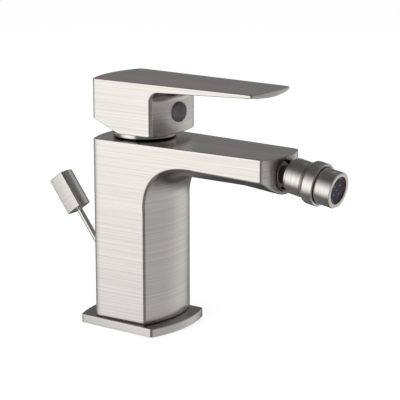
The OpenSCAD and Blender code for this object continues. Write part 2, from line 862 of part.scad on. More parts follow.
module ball_stem() {
    flange_x = bush_back_x + bush_web + washer_t;
    color(bright_nickel)
    difference() {
        union() {
            translate([ball_x, 0, socket_z]) sphere(r = ball_r, $fn = 96);
            along_x(flange_x, socket_z) cylinder(r = stem_neck_r, h = ball_x - flange_x);
            along_x(flange_x, socket_z) cylinder(r = stem_flange_r, h = stem_flange_t);
            along_x(stem_back_x, socket_z) cylinder(r = stem_thread_r, h = flange_x - stem_back_x + 1);
        }
        along_x(stem_back_x - 1, socket_z) cylinder(r = stem_bore_r, h = far);
    }
}

module ball_seat() {
    start_s = 4.1;
    end_s = 7.7;
    color(white_plastic)
    at_ball()
    difference() {
        intersection() {
            sphere(r = seat_shell_r, $fn = 96);
            translate([0, 0, start_s]) cylinder(r = far, h = end_s - start_s);
        }
        sphere(r = ball_r + run_gap, $fn = 96);
    }
}

module ball_seal() {
    color(black_rubber)
    at_ball() translate([0, 0, seal_s]) torus(seal_ring_centre, seal_ring_r);
}

module swivel_sleeve() {
    edge = 0.35;
    color(nickel)
    at_ball()
    difference() {
        rotate_extrude($fn = 96)
            polygon([
                [0, -lip_back],
                [lip_r, -lip_back],
                [lip_r, -sleeve_back],
                [sleeve_r - edge, -sleeve_back],
                [sleeve_r, edge - sleeve_back],
                [sleeve_r, seam_s - edge],
                [sleeve_r - edge, seam_s],
                [0, seam_s]]);
        // Close fit on the back of the ball, wider room for the seat in front of it
        sphere(r = ball_r + run_gap, $fn = 96);
        intersection() {
            sphere(r = cavity_r, $fn = 96);
            translate([0, 0, cavity_start]) cylinder(r = far, h = far);
        }
        translate([0, 0, spigot_start]) cylinder(r = spigot_r + fit_gap, h = far);
        translate([0, 0, seal_s]) torus(seal_ring_centre, seal_ring_r + fit_gap);
    }
}

module swivel_collar() {
    bevel = 2.4;
    rim = 0.4;
    color(nickel)
    at_ball()
    difference() {
        union() {
            translate([0, 0, spigot_start + fit_gap]) cylinder(r = spigot_r, h = seam_s - spigot_start);
            rotate_extrude($fn = 96)
                polygon([
                    [0, seam_s + fit_gap],
                    [sleeve_r, seam_s + fit_gap],
                    [sleeve_r + 0.15, seam_s + 0.6],
                    [nozzle_collar_r - 0.35, seam_s + bevel],
                    [nozzle_collar_r, seam_s + bevel + 0.7],
                    [nozzle_collar_r, collar_front_s - rim],
                    [nozzle_collar_r - rim, collar_front_s],
                    [0, collar_front_s]]);
        }
        sphere(r = cavity_r, $fn = 96);
        translate([0, 0, seam_s - 3]) cylinder(r = collar_bore_r, h = 10);
        translate([0, 0, chamber_s]) cylinder(r = chamber_r, h = far);
        translate([0, 0, collar_front_s - collar_recess]) cylinder(r = nozzle_collar_r - collar_lip, h = far);
    }
}

module aerator_housing() {
    rim = 0.3;
    shoulder_s = collar_front_s - collar_recess;
    color(nickel)
    at_ball()
    difference() {
        union() {
            translate([0, 0, chamber_s + fit_gap]) cylinder(r = chamber_r - fit_gap, h = aerator_gasket_t + 5);
            rotate_extrude($fn = 96)
                polygon([
                    [0, shoulder_s + fit_gap],
                    [aerator_r, shoulder_s + fit_gap],
                    [aerator_r, aerator_front_s - rim],
                    [aerator_r - rim, aerator_front_s],
                    [0, aerator_front_s]]);
        }
        translate([0, 0, chamber_s - 1])
            cylinder(r = aerator_bore_r, h = aerator_front_s - mouth_lip - chamber_s + 1);
        cylinder(r = mouth_r, h = far);
        // Flats for the key, above and below
        for (side = [-1, 1])
            translate([side * (aerator_r - flat_depth + 5), 0, aerator_front_s - flat_length + 10])
                cube([10, far, 20], center = true);
    }
}

module aerator_gasket() {
    color(black_rubber)
    at_ball() translate([0, 0, chamber_s + fit_gap])
        ring(aerator_bore_r - fit_gap, collar_bore_r + 0.5, aerator_gasket_t);
}

insert_s = chamber_s + 2 * fit_gap + aerator_gasket_t;
screen_s = aerator_front_s - mouth_lip - screen_t - fit_gap;
module aerator_insert() {
    wall = 1.1;
    plate = 2;
    jet_r = 0.6;
    color(white_plastic)
    at_ball()
    difference() {
        translate([0, 0, insert_s]) cylinder(r = aerator_bore_r - fit_gap, h = screen_s - fit_gap - insert_s);
        translate([0, 0, insert_s + plate]) cylinder(r = aerator_bore_r - fit_gap - wall, h = far);
        for (turn = [0 : 30 : 330])
            rotate(turn) translate([collar_bore_r - 0.7, 0, insert_s - 1]) cylinder(r = jet_r, h = plate + 2);
    }
}

module aerator_screen() {
    screen_r = aerator_bore_r - fit_gap;
    rows = floor((mouth_r - 0.8) / screen_pitch);
    hole_r = screen_pitch * 0.5 - 0.08;
    color(dark_plastic)
    at_ball() translate([0, 0, screen_s])
    linear_extrude(screen_t)
        difference() {
            circle(r = screen_r);
            for (i = [-rows : rows], j = [-rows : rows])
                if (norm([i + j / 2, j * sqrt(3) / 2]) * screen_pitch < mouth_r - 0.8)
                    translate([(i + j / 2) * screen_pitch, j * sqrt(3) / 2 * screen_pitch])
                        rotate(30) circle(r = hole_r, $fn = 6);
        }
}

// Waste lift rod
module rod_bush() {
    color(white_plastic)
    intersection() {
        along_rod(rod_bush_start + fit_gap)
            difference() {
                ring(rod_bush_r, rod_r + run_gap, rod_bush_length + 20);
                translate([0, 0, rod_seal_s - rod_bush_start])
                    torus(rod_r + run_gap + rod_seal_ring_r, rod_seal_ring_r + fit_gap);
            }
        linear_extrude(body_top_z) column_plan();
    }
}

module rod_seal() {
    color(black_rubber)
    along_rod(rod_seal_s) torus(rod_r + run_gap + rod_seal_ring_r, rod_seal_ring_r);
}

module lift_rod() {
    color(bright_nickel)
    along_rod(rod_start) cylinder(r = rod_r, h = knob_start + rod_in_knob - rod_start);
}

module lift_knob() {
    knob_front = knob_depth / 2 + bow_height(knob_bow_r, knob_width / 2);
    color(nickel)
    along_rod(knob_start)
    difference() {
        linear_extrude(knob_length)
            intersection() {
                square([far, knob_width], center = true);
                bowed_front(knob_front, knob_bow_r);
                bowed_back(knob_front, knob_bow_r);
            }
        translate([0, 0, -1]) cylinder(r = rod_r + fit_gap, h = rod_in_knob + 1 + fit_gap);
    }
}

base_plate();
base_gasket();
body();
cartridge_base();
port_seals();
cartridge_housing();
fixed_disc();
moving_disc();
disc_carrier();
rotor();
pivot_pin();
spindle();
retaining_nut();
collar_ring();
handle();
set_screw();
handle_plug();
hot_mark();
cold_mark();
socket_bush();
stem_washer();
ball_stem();
ball_seat();
ball_seal();
swivel_sleeve();
swivel_collar();
aerator_housing();
aerator_gasket();
aerator_insert();
aerator_screen();
rod_bush();
rod_seal();
lift_rod();
lift_knob();
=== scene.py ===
# %% [markdown]
# # A bidet mixer in brushed nickel
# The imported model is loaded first, because every visible piece is fitted around it.
# Each step has a short text about the real piece, how it could be made, and why it is made
# this way. Sizes are written in millimetres and turned into metres when a mesh is made.

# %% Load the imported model
import math
import bpy
import bmesh
import numpy as np
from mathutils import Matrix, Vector, geometry


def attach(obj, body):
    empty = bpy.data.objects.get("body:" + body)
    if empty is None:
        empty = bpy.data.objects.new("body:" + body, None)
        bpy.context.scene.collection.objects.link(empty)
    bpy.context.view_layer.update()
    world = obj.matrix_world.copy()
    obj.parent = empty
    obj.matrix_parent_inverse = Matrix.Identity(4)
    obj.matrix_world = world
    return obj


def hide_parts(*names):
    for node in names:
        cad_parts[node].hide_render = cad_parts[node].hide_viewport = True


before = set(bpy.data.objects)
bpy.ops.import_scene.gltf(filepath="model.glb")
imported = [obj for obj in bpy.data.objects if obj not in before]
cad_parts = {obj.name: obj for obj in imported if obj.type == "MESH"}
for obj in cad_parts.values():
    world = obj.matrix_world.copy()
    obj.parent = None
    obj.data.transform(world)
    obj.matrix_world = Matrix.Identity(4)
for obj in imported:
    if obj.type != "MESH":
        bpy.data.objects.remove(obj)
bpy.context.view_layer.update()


# %% [markdown]
# ## Turning arrays into pieces
# Every new piece is an array of points and a list of faces. One helper puts them into a mesh,
# turns the faces outwards, marks edges that are really sharp, and hangs the piece on the body
# that carries it, so that it moves with the joints.

# %% From arrays to a piece
MM = 0.001
SAME_POINT = 2e-6


def bare_mesh(name, points, faces):
    """A mesh from points in metres, and an object for it, which is put into the scene."""
    mesh = bpy.data.meshes.new(name)
    mesh.from_pydata(np.asarray(points).tolist(), [], faces)
    thing = bpy.data.objects.new(name, mesh)
    bpy.context.scene.collection.objects.link(thing)
    return mesh, thing


def new_piece(name, points, faces, body, node, sharp=35.0):
    """A piece from points in millimetres and faces of any number of corners. It stands for a
    node of the model. Edges that turn by more degrees than sharp stay sharp."""
    mesh, piece = bare_mesh(name, np.asarray(points) * MM, faces)
    work = bmesh.new()
    work.from_mesh(mesh)
    bmesh.ops.remove_doubles(work, verts=work.verts, dist=SAME_POINT)
    bmesh.ops.recalc_face_normals(work, faces=work.faces)
    work.to_mesh(mesh)
    work.free()
    mesh.polygons.foreach_set("use_smooth", np.ones(len(mesh.polygons), bool))
    mesh.set_sharp_from_angle(angle=math.radians(sharp))
    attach(piece, body)
    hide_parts(node)
    print(name, len(mesh.vertices), "points", len(mesh.polygons), "faces")


def grid_faces(rows, cols, close_rows=False, close_cols=False):
    """Quads between neighbours on a grid, which may close on itself either way."""
    index = np.arange(rows * cols).reshape(rows, cols)
    if close_rows:
        index = np.vstack([index, index[:1]])
    if close_cols:
        index = np.hstack([index, index[:, :1]])
    quads = np.stack([index[:-1, :-1], index[:-1, 1:], index[1:, 1:], index[1:, :-1]], -1)
    return quads.reshape(-1, 4).tolist()


# %% [markdown]
# ## Bowed and rounded outlines
# The mixer looks square, but none of its faces is a plain flat one: front and back are bowed,
# the belly of the spout is round, and every edge is eased. A box with a bevel would keep the
# wrong highlights. So body and handle are cut into thin upright slices, from one side face to
# the other. Each slice is a loop whose corners are arcs, and the loops near the sides draw in
# along a quarter circle, which gives the eased edges.

# %% Slices and their corners
FLAT_SLICES, EDGE_SLICES = 44, 7
LAST_FLAT = 0.985
SIDE_INSET = 0.25


def slice_places():
    """For each slice: its share of the half width, how far round the edge it is, and how far
    it lies inside the flat side face. The edge runs from 0 at the bow to 1 at the side."""
    flat = np.concatenate([[-1], np.linspace(-LAST_FLAT, LAST_FLAT, FLAT_SLICES - 1), [1]])
    edge = np.linspace(0, 1, EDGE_SLICES + 1)[1:]
    ends = np.ones(EDGE_SLICES + 1)
    inside = np.zeros(len(flat) + 2 * len(ends))
    inside[[0, -1]] = SIDE_INSET
    return (np.concatenate([-ends, flat, ends]),
            np.concatenate([[1.0], edge[::-1], 0 * flat, edge, [1.0]]), inside)


SHARE, TURN, INSIDE = slice_places()
SLICES = len(SHARE)


def smooth(s):
    """Rises from 0 to 1 with level ends."""
    return s * s * (3 - 2 * s)


def bow(radius, y):
    """How far an arc of this radius falls back at the distance y from its middle."""
    return radius - np.sqrt(radius**2 - y**2)


def bowed_edge(half, rounding, radius=None, stretch=1.0):
    """Depth of every slice behind the highest line of a bowed face, and the distance that the
    slice keeps from the side face. The rounding circle touches the bow and the side inside. A
    stretch draws it out along the side face. Without a radius the face is flat."""
    lean = 0.0 if radius is None else math.asin((half - rounding) / (radius - rounding))
    angle = lean + TURN * (math.pi / 2 - lean)
    gap = rounding * (1 - np.sin(angle))
    if radius is None:
        return rounding * (1 - np.cos(angle)) + INSIDE, gap
    y = SHARE * (half - gap)
    centre = math.sqrt((radius - rounding) ** 2 - (half - rounding) ** 2)
    edge = radius - centre - rounding * np.cos(angle)
    start = radius - centre - rounding * math.cos(lean)
    edge = start + (edge - start) * (1 + (stretch - 1) * smooth(TURN))
    return np.where(TURN > 0, edge, bow(radius, np.abs(y) * (TURN == 0))) + INSIDE, gap


def corner(x, z):
    """One corner of the loop for all slices at once."""
    return np.stack([np.broadcast_to(x, SLICES), np.broadcast_to(z, SLICES)], -1)


def arc_along(s, start, middle, end, weight):
    """A rational curve of second degree: an exact arc if the weight is the sine of half the
    angle at its middle point."""
    a, b, c = (1 - s) ** 2, 2 * s * (1 - s) * weight, s**2
    return (a * start + b * middle + c * end) / (a + b + c)


def unit(vectors):
    """Vectors of the same directions with length 1."""
    return vectors / np.linalg.norm(vectors, axis=-1, keepdims=True)


def rounded_loops(corners, radii, arc_counts, line_counts):
    """Loops through the corners, with an arc for each corner. A radius is one number, one per
    slice, or a triple (along the line before, along the line after, pull): unequal radii
    stretch the arc, and a pull above 1 draws it into the corner. Each row of the result has a
    tag (corner, share, is it on the arc)."""
    points = np.stack(corners).astype(float)
    before, after = (unit(np.roll(points, step, 0) - points) for step in (1, -1))
    cosine = (before * after).sum(-1, keepdims=True)
    share = np.maximum(np.sqrt((1 + cosine) / np.maximum(1 - cosine, 1e-9)), 0.04)
    triples = [r if isinstance(r, tuple) else (r, r, 1.0) for r in radii]
    cut_in, cut_out, pull = (
        np.stack([np.broadcast_to(t[k], SLICES) for t in triples])[..., None] for k in range(3))
    weight = pull * np.sqrt((1 - cosine) / 2)
    first, last = points + before * share * cut_in, points + after * share * cut_out
    rows, tags = [], []
    for i in range(len(corners)):
        s = np.linspace(0, 1, arc_counts[i])[:, None, None]
        rows.append(arc_along(s, first[i], points[i], last[i], weight[i]))
        tags += [(i, float(v), True) for v in s.ravel()]
        start, end = last[i], first[(i + 1) % len(corners)]
        near = min(0.3 / np.linalg.norm(end - start, axis=-1).mean(), 0.2 / line_counts[i])
        inner = np.linspace(0, 1, line_counts[i])[1:-1] * (1 - 2 * near) + near
        s = np.concatenate([[near], inner, [1 - near]])[:, None, None]
        rows.append((1 - s) * start + s * end)
        tags += [(i, float(v), False) for v in s.ravel()]
    return np.concatenate(rows), tags


GAP_REACH = 3.0


def side_gaps(loops, tags, corner_gaps, line_gaps):
    """The distance from the side face for every point of every loop. A corner has one value,
    or one at its start and one at its end, and a line has one. Near its ends a line passes
    smoothly into its corners."""
    gaps = np.zeros(loops.shape[:2])
    ends = [g if isinstance(g, tuple) else (g, g) for g in corner_gaps]
    for row, (i, s, is_arc) in enumerate(tags):
        if is_arc:
            gaps[row] = (1 - smooth(s)) * ends[i][0] + smooth(s) * ends[i][1]
            continue
        line = [r for r, t in enumerate(tags) if t[0] == i and not t[2]]
        length = np.linalg.norm(loops[line[-1]] - loops[line[0]], axis=-1) + 1e-6
        gaps[row] = line_gaps[i]
        for share, gap in ((s, ends[i][1]), (1 - s, ends[(i + 1) % len(ends)][0])):
            near = smooth(np.clip(1 - share * length / GAP_REACH, 0, 1))
            gaps[row] += near * (gap - line_gaps[i])
    return gaps


def sliced(lines):
    """Loops, tags and side gaps from a table. It has one row for each corner with the line after
    it: x, z, radius, points on the arc, points on the line, gap at the corner, on the line."""
    xs, zs, radii, arc_counts, line_counts, corner_gaps, line_gaps = zip(*lines)
    loops, tags = rounded_loops([corner(*place) for place in zip(xs, zs)], radii, arc_counts,
                                line_counts)
    return loops, tags, side_gaps(loops, tags, corner_gaps, line_gaps)


def wedge_points(loops, gaps, half):
    """Puts the loops into space: the side faces lie at half(x), which narrows to the front."""
    x = loops[..., 0]
    return np.stack([x, SHARE * (half(x) - gaps), loops[..., 1]], -1)


def narrowing(back_half, tip_half, back_x, tip_x):
    """The half width as a function of x, which falls evenly from back to tip."""
    return lambda x: back_half - (back_half - tip_half) / (tip_x - back_x) * (x - back_x)


# %% [markdown]
# ## Openings in a bowed face
# The spout tip holds a round bush, the lift rod comes out of the back, and the handle is hollow
# below. A boolean would leave long thin faces and broken highlights on a bowed metal face.
# Here a window of the grid is taken out, and rings of quads lead from its square rim to the
# round edge of the opening.

# %% Windows in a grid
def window_rim(rows, cols, r0, r1, c0, c1):
    """Indices of the points round a window of the grid, in order."""
    index = np.arange(rows * cols).reshape(rows, cols)
    return np.concatenate([index[r0, c0:c1], index[r0:r1, c1], index[r1, c1:c0:-1],
                           index[r1:r0:-1, c0]])


def rows_between(tags, segment, loops, low, high, axis=1):
    """First and last row of one line whose middle slice lies between two values."""
    middle = loops[:, SLICES // 2, axis]
    rows = [r for r, t in enumerate(tags)
            if t[0] == segment and not t[2] and low <= middle[r] <= high]
    return rows[0], rows[-1]


def window(points, r0, r1, limit):
    """Place of a window between two rows, and the points of its rim. It takes in the flat
    slices whose distance from the middle stays under a limit."""
    inside = np.where((np.abs(points[r0, :, 1]) <= limit) & (TURN == 0) & (INSIDE == 0))[0]
    place = (r0, r1, inside[0], inside[-1])
    return place, points.reshape(-1, 3)[window_rim(*points.shape[:2], *place)]


def ring_rows(rim, edge, on_face, count=5):
    """Rings between a rim and the edge of an opening. Each is a straight blend of the two,
    laid onto the face again by on_face."""
    steps = np.linspace(0, 1, count + 2)[1:]
    return [on_face(rim + (edge - rim) * s) if s < 1 else edge for s in steps]


def open_grid(points, windows):
    """A grid of loops that closes along its rows, with a cap on each side and with windows. A
    window is (place, rings): the rings lead from its rim inwards, and a face closes the last."""
    rows, cols = points.shape[:2]
    flat, total = [points.reshape(-1, 3)], rows * cols
    keep = np.ones((rows, cols - 1), bool)
    faces = []
    for (r0, r1, c0, c1), rings in windows:
        keep[r0:r1, c0:c1] = False
        last = window_rim(rows, cols, r0, r1, c0, c1)
        for ring in rings:
            this = total + np.arange(len(ring))
            flat.append(ring)
            total += len(ring)
            faces += np.stack([last, np.roll(last, -1), np.roll(this, -1), this], -1).tolist()
            last = this
        faces.append(last.tolist())
    quads = np.array(grid_faces(rows, cols, close_rows=True)).reshape(rows, cols - 1, 4)
    index = np.arange(rows * cols).reshape(rows, cols)
    faces += quads[keep].tolist() + [index[:, 0].tolist(), index[:, -1].tolist()]
    return np.concatenate(flat), faces


# %% [markdown]
# ## Body
# Column and spout are one brass casting, ground flat on two sides and brushed. The sides close
# in towards the spout. The front and back of the column and the tip of the spout are bowed, a
# round belly runs under the spout, and a boss under the tip makes room for the bush. The
# hollow sweep from the spout to the column is tight in the middle and drawn out towards the
# sides, so its arc has its own length along the spout and down the column on every slice.
# The slices follow the lines in the order back, top, tip, boss, belly, sweep, front.

# %% The body's own lines
BODY_TOP, PLATE_TOP = 118.4, 5.4
CART_X, SOCKET_Z = 3.0, 106.9
BACK_X, FRONT_X, TIP_X = -16.9, 19.8, 100.9
COLUMN_BOW, TIP_BOW, BELLY_BOW, BOSS_BOW = 58.0, 38.5, 34.0, 25.0
BELLY_ROUNDING = 1.8
BELLY_ROOT_X, BELLY_MID_X, BELLY_TIP_X = 25.0, 85.0, 104.0
BELLY_LOW = BODY_TOP - 20.4
BOSS_DROP, BOSS_RUN = 2.6, 29.0
SWEEP, SWEEP_MIDDLE, SWEEP_EASE = 5, 16.0, 1.8

body_half = narrowing(25.8, 20.2, BACK_X, TIP_X)
back_depth, back_gap = bowed_edge(body_half(-17.0), 2.0, COLUMN_BOW, 2.4)
front_depth, front_gap = bowed_edge(body_half(20.0), 2.5, COLUMN_BOW)
tip_depth, tip_gap = bowed_edge(body_half(101.0), 1.5, TIP_BOW)
top_depth, top_gap = bowed_edge(body_half(40.0), 0.5)
foot_depth, foot_gap = bowed_edge(body_half(0.0), 1.6)
(belly_root, belly_gap), (belly_mid, _), (belly_tip, _), (boss_tip, _) = [
    bowed_edge(body_half(x), BELLY_ROUNDING, radius) for x, radius in (
        (BELLY_ROOT_X, BELLY_BOW), (BELLY_MID_X, BELLY_BOW), (BELLY_TIP_X, BELLY_BOW),
        (BELLY_TIP_X, BOSS_BOW))]

BACK_MIDDLE = BACK_X - bow(COLUMN_BOW, body_half(BACK_X))
TIP_FRONT = TIP_X + bow(TIP_BOW, body_half(TIP_X))
back_x = BACK_MIDDLE + back_depth
front_x = FRONT_X + bow(COLUMN_BOW, body_half(FRONT_X)) - front_depth
tip_x = TIP_FRONT - tip_depth


def soft_low(a, b, width):
    """The lower of two heights, with the crease between them filled over a width."""
    near = np.maximum(width - np.abs(a - b), 0) / width
    return np.minimum(a, b) - near**2 * width / 4


tip_low = soft_low(belly_tip, boss_tip - BOSS_DROP, 0.4)
boss_x = np.minimum(TIP_FRONT - BOSS_RUN * (belly_tip - tip_low) / BOSS_DROP, tip_x - 6.0)
root_share = (boss_x - BELLY_ROOT_X) / (BELLY_MID_X - BELLY_ROOT_X)
boss_z = BELLY_LOW + belly_root + (belly_mid - belly_root) * root_share
print("spout tip", round(float(TIP_FRONT), 2), "lowest", round(float(BELLY_LOW + tip_low.min()), 2))

# %% Loops of the body
foot_z, top_z = PLATE_TOP - 0.1 + foot_depth, BODY_TOP - top_depth
sweep = tuple(middle + (side - middle) * SHARE**2 for middle, side in (
    (SWEEP_MIDDLE, 35.0), (SWEEP_MIDDLE, 30.0), (1.0, 1.4)))
body_loops, body_tags, body_gaps = sliced([
    (back_x, foot_z, 1.6, 6, 40, back_gap, back_gap),
    (back_x, top_z, 0.5, 6, 70, back_gap, top_gap),
    (tip_x, top_z, 0.7, 6, 22, tip_gap, tip_gap),
    (tip_x, BELLY_LOW + tip_low, 1.2, 8, 14, tip_gap, belly_gap),
    (boss_x, boss_z, 40.0, 7, 26, belly_gap, belly_gap),
    (front_x, BELLY_LOW + belly_root, sweep, 34, 36, (belly_gap, front_gap), front_gap),
    (front_x, foot_z, 1.6, 6, 12, front_gap, foot_gap)])
for row, (segment, s, is_arc) in enumerate(body_tags):
    if segment == SWEEP and is_arc:
        body_gaps[row] += 4 * s * (1 - s) * SWEEP_EASE * front_gap
body_points = wedge_points(body_loops, body_gaps, body_half)

# %% Windows for the bush and for the lift rod
ROD_FOOT_X = -1.7
ROD_LEAN = math.radians(37.0)
ROD_AXIS = np.array([-math.sin(ROD_LEAN), 0.0, math.cos(ROD_LEAN)])
BUSH_BACK, BUSH_SEAT = 97.5, 9.56
EDGE_BREAK = 0.25


def onto_bow(middle_x, radius, way):
    """Gives a function that lays points onto a bowed face with its middle at middle_x, which
    looks forward if way is 1 and back if it is -1."""
    def lay(points):
        out = points.copy()
        out[:, 0] = middle_x - way * bow(radius, points[:, 1])
        return out
    return lay


def round_edge(rim, z, radius, up_scale=1.0):
    """The edge of a round opening at a height, with one point in the direction of each rim
    point. A slanting bore cuts it longer by up_scale."""
    across, up = rim[:, 1], (rim[:, 2] - z) / up_scale
    size = np.hypot(across, up)
    out = rim.copy()
    out[:, 1] = across / size * radius
    out[:, 2] = z + up / size * radius * up_scale
    return out


on_tip, on_back = onto_bow(TIP_FRONT, TIP_BOW, 1), onto_bow(BACK_MIDDLE, COLUMN_BOW, -1)
tip_place, rim = window(body_points, *rows_between(body_tags, 2, body_loops, 0, 200), 30.0)
edge = on_tip(round_edge(rim, SOCKET_Z, BUSH_SEAT + EDGE_BREAK))
inner = on_tip(round_edge(rim, SOCKET_Z, BUSH_SEAT))
inner[:, 0] -= EDGE_BREAK
tip_floor = inner.copy()
tip_floor[:, 0] = BUSH_BACK
tip_rings = ring_rows(rim, edge, on_tip) + [inner, tip_floor]

rod_z = (ROD_FOOT_X - back_x[SLICES // 2]) / math.tan(ROD_LEAN)
rod_place, rim = window(
    body_points, *rows_between(body_tags, 0, body_loops, rod_z - 9.5, rod_z + 9.5), 7.0)
edge = on_back(round_edge(rim, rod_z, 3.23, 1 / math.sin(ROD_LEAN)))
rod_rings = ring_rows(rim, edge, on_back, 3) + [edge - ROD_AXIS * 9.0]

points, faces = open_grid(body_points, [(tip_place, tip_rings), (rod_place, rod_rings)])
new_piece("body_casting", points, faces, "base", "body")

# %% [markdown]
# ## Foot of the body
# Underneath, a round foot centres the base plate. It has the two inlets, the two stud holes and
# the way out of the lift rod. The flat end is triangulated between its outline and the holes,
# and each hole gets a wall and a drilled floor.

# %% Flat faces with holes
FOOT_RADIUS, FOOT_POINTS = 16.9, 96
HOLE_EDGE = 0.995


def circle_points(x, y, radius, z=0.0, count=48, stretch=1.0):
    """Points of a circle in a level plane, stretched along x where a slanting bore cuts it."""
    angle = np.linspace(0, 2 * math.pi, count, endpoint=False)
    return np.stack([x + radius * stretch * np.cos(angle), y + radius * np.sin(angle),
                     np.full(count, z)], -1)


def face_with_holes(outline, holes):
    """Triangles between an outline and its holes, all in one level plane."""
    edges, start = [], 0
    for loop in [outline] + holes:
        n = len(loop)
        edges += [(start + i, start + (i + 1) % n) for i in range(n)]
        start += n
    flat = [Vector(p[:2]) for p in np.concatenate([outline] + holes)]
    result = geometry.delaunay_2d_cdt(flat, edges, [], 1, 1e-7)
    corners = np.array([tuple(v) for v in result[0]])
    tris = np.array([f for f in result[2] if len(f) == 3])
    middle = corners[tris].mean(1)
    keep = np.ones(len(tris), bool)
    for hole in holes:
        centre = hole[:, :2].mean(0)
        reach = np.abs(hole[:, :2] - centre).max(0)
        keep &= (((middle - centre) / reach) ** 2).sum(1) > HOLE_EDGE
    z = np.full((len(corners), 1), outline[0, 2])
    return np.hstack([corners, z]), tris[keep].tolist()


def join(parts):
    """Joins several (points, faces) pairs into one."""
    points, faces, start = [], [], 0
    for p, f in parts:
        points.append(np.asarray(p))
        faces += [[i + start for i in face] for face in f]
        start += len(p)
    return np.concatenate(points), faces


def bore(loop, depth, along=(0.0, 0.0, 1.0), tip=0.0):
    """The wall of a hole that starts at a loop, with a drilled floor."""
    n = len(loop)
    far = loop + np.array(along) * depth
    points = np.concatenate([loop, far, far.mean(0)[None] + np.array(along) * tip])
    faces = grid_faces(2, n, close_cols=True)
    return points, faces + [[n + i, n + (i + 1) % n, 2 * n] for i in range(n)]


rim = circle_points(0, 0, FOOT_RADIUS, count=FOOT_POINTS)
upper = circle_points(0, 0, FOOT_RADIUS, PLATE_TOP + 0.3, FOOT_POINTS)
inlets = [circle_points(7.5, side * 6.5, 4.5) for side in (-1, 1)]
studs = [circle_points(0, side * 13.0, 2.5, count=32) for side in (-1, 1)]
rod_way = circle_points(ROD_FOOT_X, 0, 2.3, count=32, stretch=1 / math.cos(ROD_LEAN))
points, faces = join(
    [face_with_holes(rim, inlets + studs + [rod_way]),
     (np.concatenate([rim, upper]), grid_faces(2, FOOT_POINTS, close_cols=True))]
    + [bore(hole, 12.0) for hole in inlets] + [bore(hole, 14.0, tip=1.2) for hole in studs]
    + [bore(rod_way, 12.0, ROD_AXIS)])
new_piece("body_foot", points, faces, "base", "body")

# %% [markdown]
# ## Handle
# The handle is one casting too: a hollow block over the cartridge, and a thin flat lever in
# front. Its top is one flat ground face. Under the back a bevel gives room for lifting, and
# the underside of the lever is slightly crowned. It is made of slices like the body, starting
# at the front of the foot, so that foot and bevel lie side by side for the hollow below.

# %% The handle's own lines
HANDLE_FOOT, HANDLE_TOP = 122.8, 154.96
BLOCK_BACK_X, BLOCK_FRONT_X, LEVER_TIP_X = -17.9, 24.1, 94.7
BLOCK_BOW, LEVER_BOW, UNDER_BOW = 57.0, 102.0, 142.0
BEVEL_X, BEVEL_SLOPE = 0.6, 7.85 / 18.5
LEVER_ROOT_Z, LEVER_SLOPE = 148.5, (6.5 - 3.4) / (94.7 - 28.86)

handle_half = narrowing(24.3, 20.3, BLOCK_BACK_X, LEVER_TIP_X)
back_depth, back_gap = bowed_edge(handle_half(-18.0), 2.2, BLOCK_BOW)
front_depth, front_gap = bowed_edge(handle_half(BLOCK_FRONT_X), 2.8, BLOCK_BOW)
tip_depth, tip_gap = bowed_edge(handle_half(LEVER_TIP_X), 1.8, LEVER_BOW)
top_depth, top_gap = bowed_edge(handle_half(30.0), 0.4)
foot_depth, foot_gap = bowed_edge(handle_half(5.0), 0.4)
under_root, under_gap = bowed_edge(handle_half(30.0), 0.45, UNDER_BOW)
under_tip, _ = bowed_edge(handle_half(LEVER_TIP_X), 0.45, UNDER_BOW)

back_x = BLOCK_BACK_X - bow(BLOCK_BOW, handle_half(BLOCK_BACK_X)) + back_depth
front_x = BLOCK_FRONT_X + bow(BLOCK_BOW, handle_half(BLOCK_FRONT_X)) - front_depth
lever_x = LEVER_TIP_X + bow(LEVER_BOW, handle_half(LEVER_TIP_X)) - tip_depth
HANDLE_FRONT = float(front_x.max())
root_z = LEVER_ROOT_Z + LEVER_SLOPE * (front_x - HANDLE_FRONT) + under_root
tip_z = LEVER_ROOT_Z + LEVER_SLOPE * (lever_x - HANDLE_FRONT) + under_tip
thickness = HANDLE_TOP - top_depth - tip_z
print("lever tip", round(float(lever_x.max()), 2), "thickness there",
      round(float(thickness.min()), 2), "to", round(float(thickness.max()), 2))

foot_z, top_z = HANDLE_FOOT + foot_depth, HANDLE_TOP - top_depth
bevel_z = foot_z + BEVEL_SLOPE * (BEVEL_X - back_x)
over, below = np.minimum(0.5, 0.35 * thickness), np.minimum(0.9, 0.45 * thickness)
handle_loops, handle_tags, handle_gaps = sliced([
    (front_x, foot_z, 0.8, 6, 30, front_gap, foot_gap),
    (BEVEL_X, foot_z, 0.0, 1, 30, foot_gap, foot_gap),
    (back_x, bevel_z, 0.8, 6, 16, back_gap, back_gap),
    (back_x, top_z, 0.5, 6, 70, back_gap, top_gap),
    (lever_x, top_z, over, 6, 6, tip_gap, tip_gap),
    (lever_x, tip_z, below, 7, 40, tip_gap, under_gap),
    (front_x, root_z, 6.3, 20, 20, (under_gap, front_gap), front_gap)])
handle_points = wedge_points(handle_loops, handle_gaps, handle_half)

# %% The hollow under the handle
HOLLOW_RADIUS, HOLLOW_TOP = 20.2, 148.0
HUB_RADIUS, HUB_FOOT, SPINDLE_TOP, SPINDLE_HALF = 8.5, 127.0, 142.0, 4.03


def on_foot(points):
    """Lays points onto the foot of the handle or onto its bevel."""
    out = points.copy()
    out[:, 2] = HANDLE_FOOT + BEVEL_SLOPE * np.maximum(BEVEL_X - points[:, 0], 0)
    return out


def hollow_edge(rim, radius):
    """Points of a circle about the cartridge where the rays from the middle of the bevel's
    edge to the rim points meet it, laid onto the foot or the bevel."""
    ray = unit(rim[:, :2] - (BEVEL_X, 0.0))
    offset = np.array([BEVEL_X - CART_X, 0.0])
    b = (ray * offset).sum(1)
    out = rim.copy()
    out[:, :2] = (BEVEL_X, 0.0) + ray * (
        np.sqrt(b**2 - offset @ offset + radius**2) - b)[:, None]
    return on_foot(out)


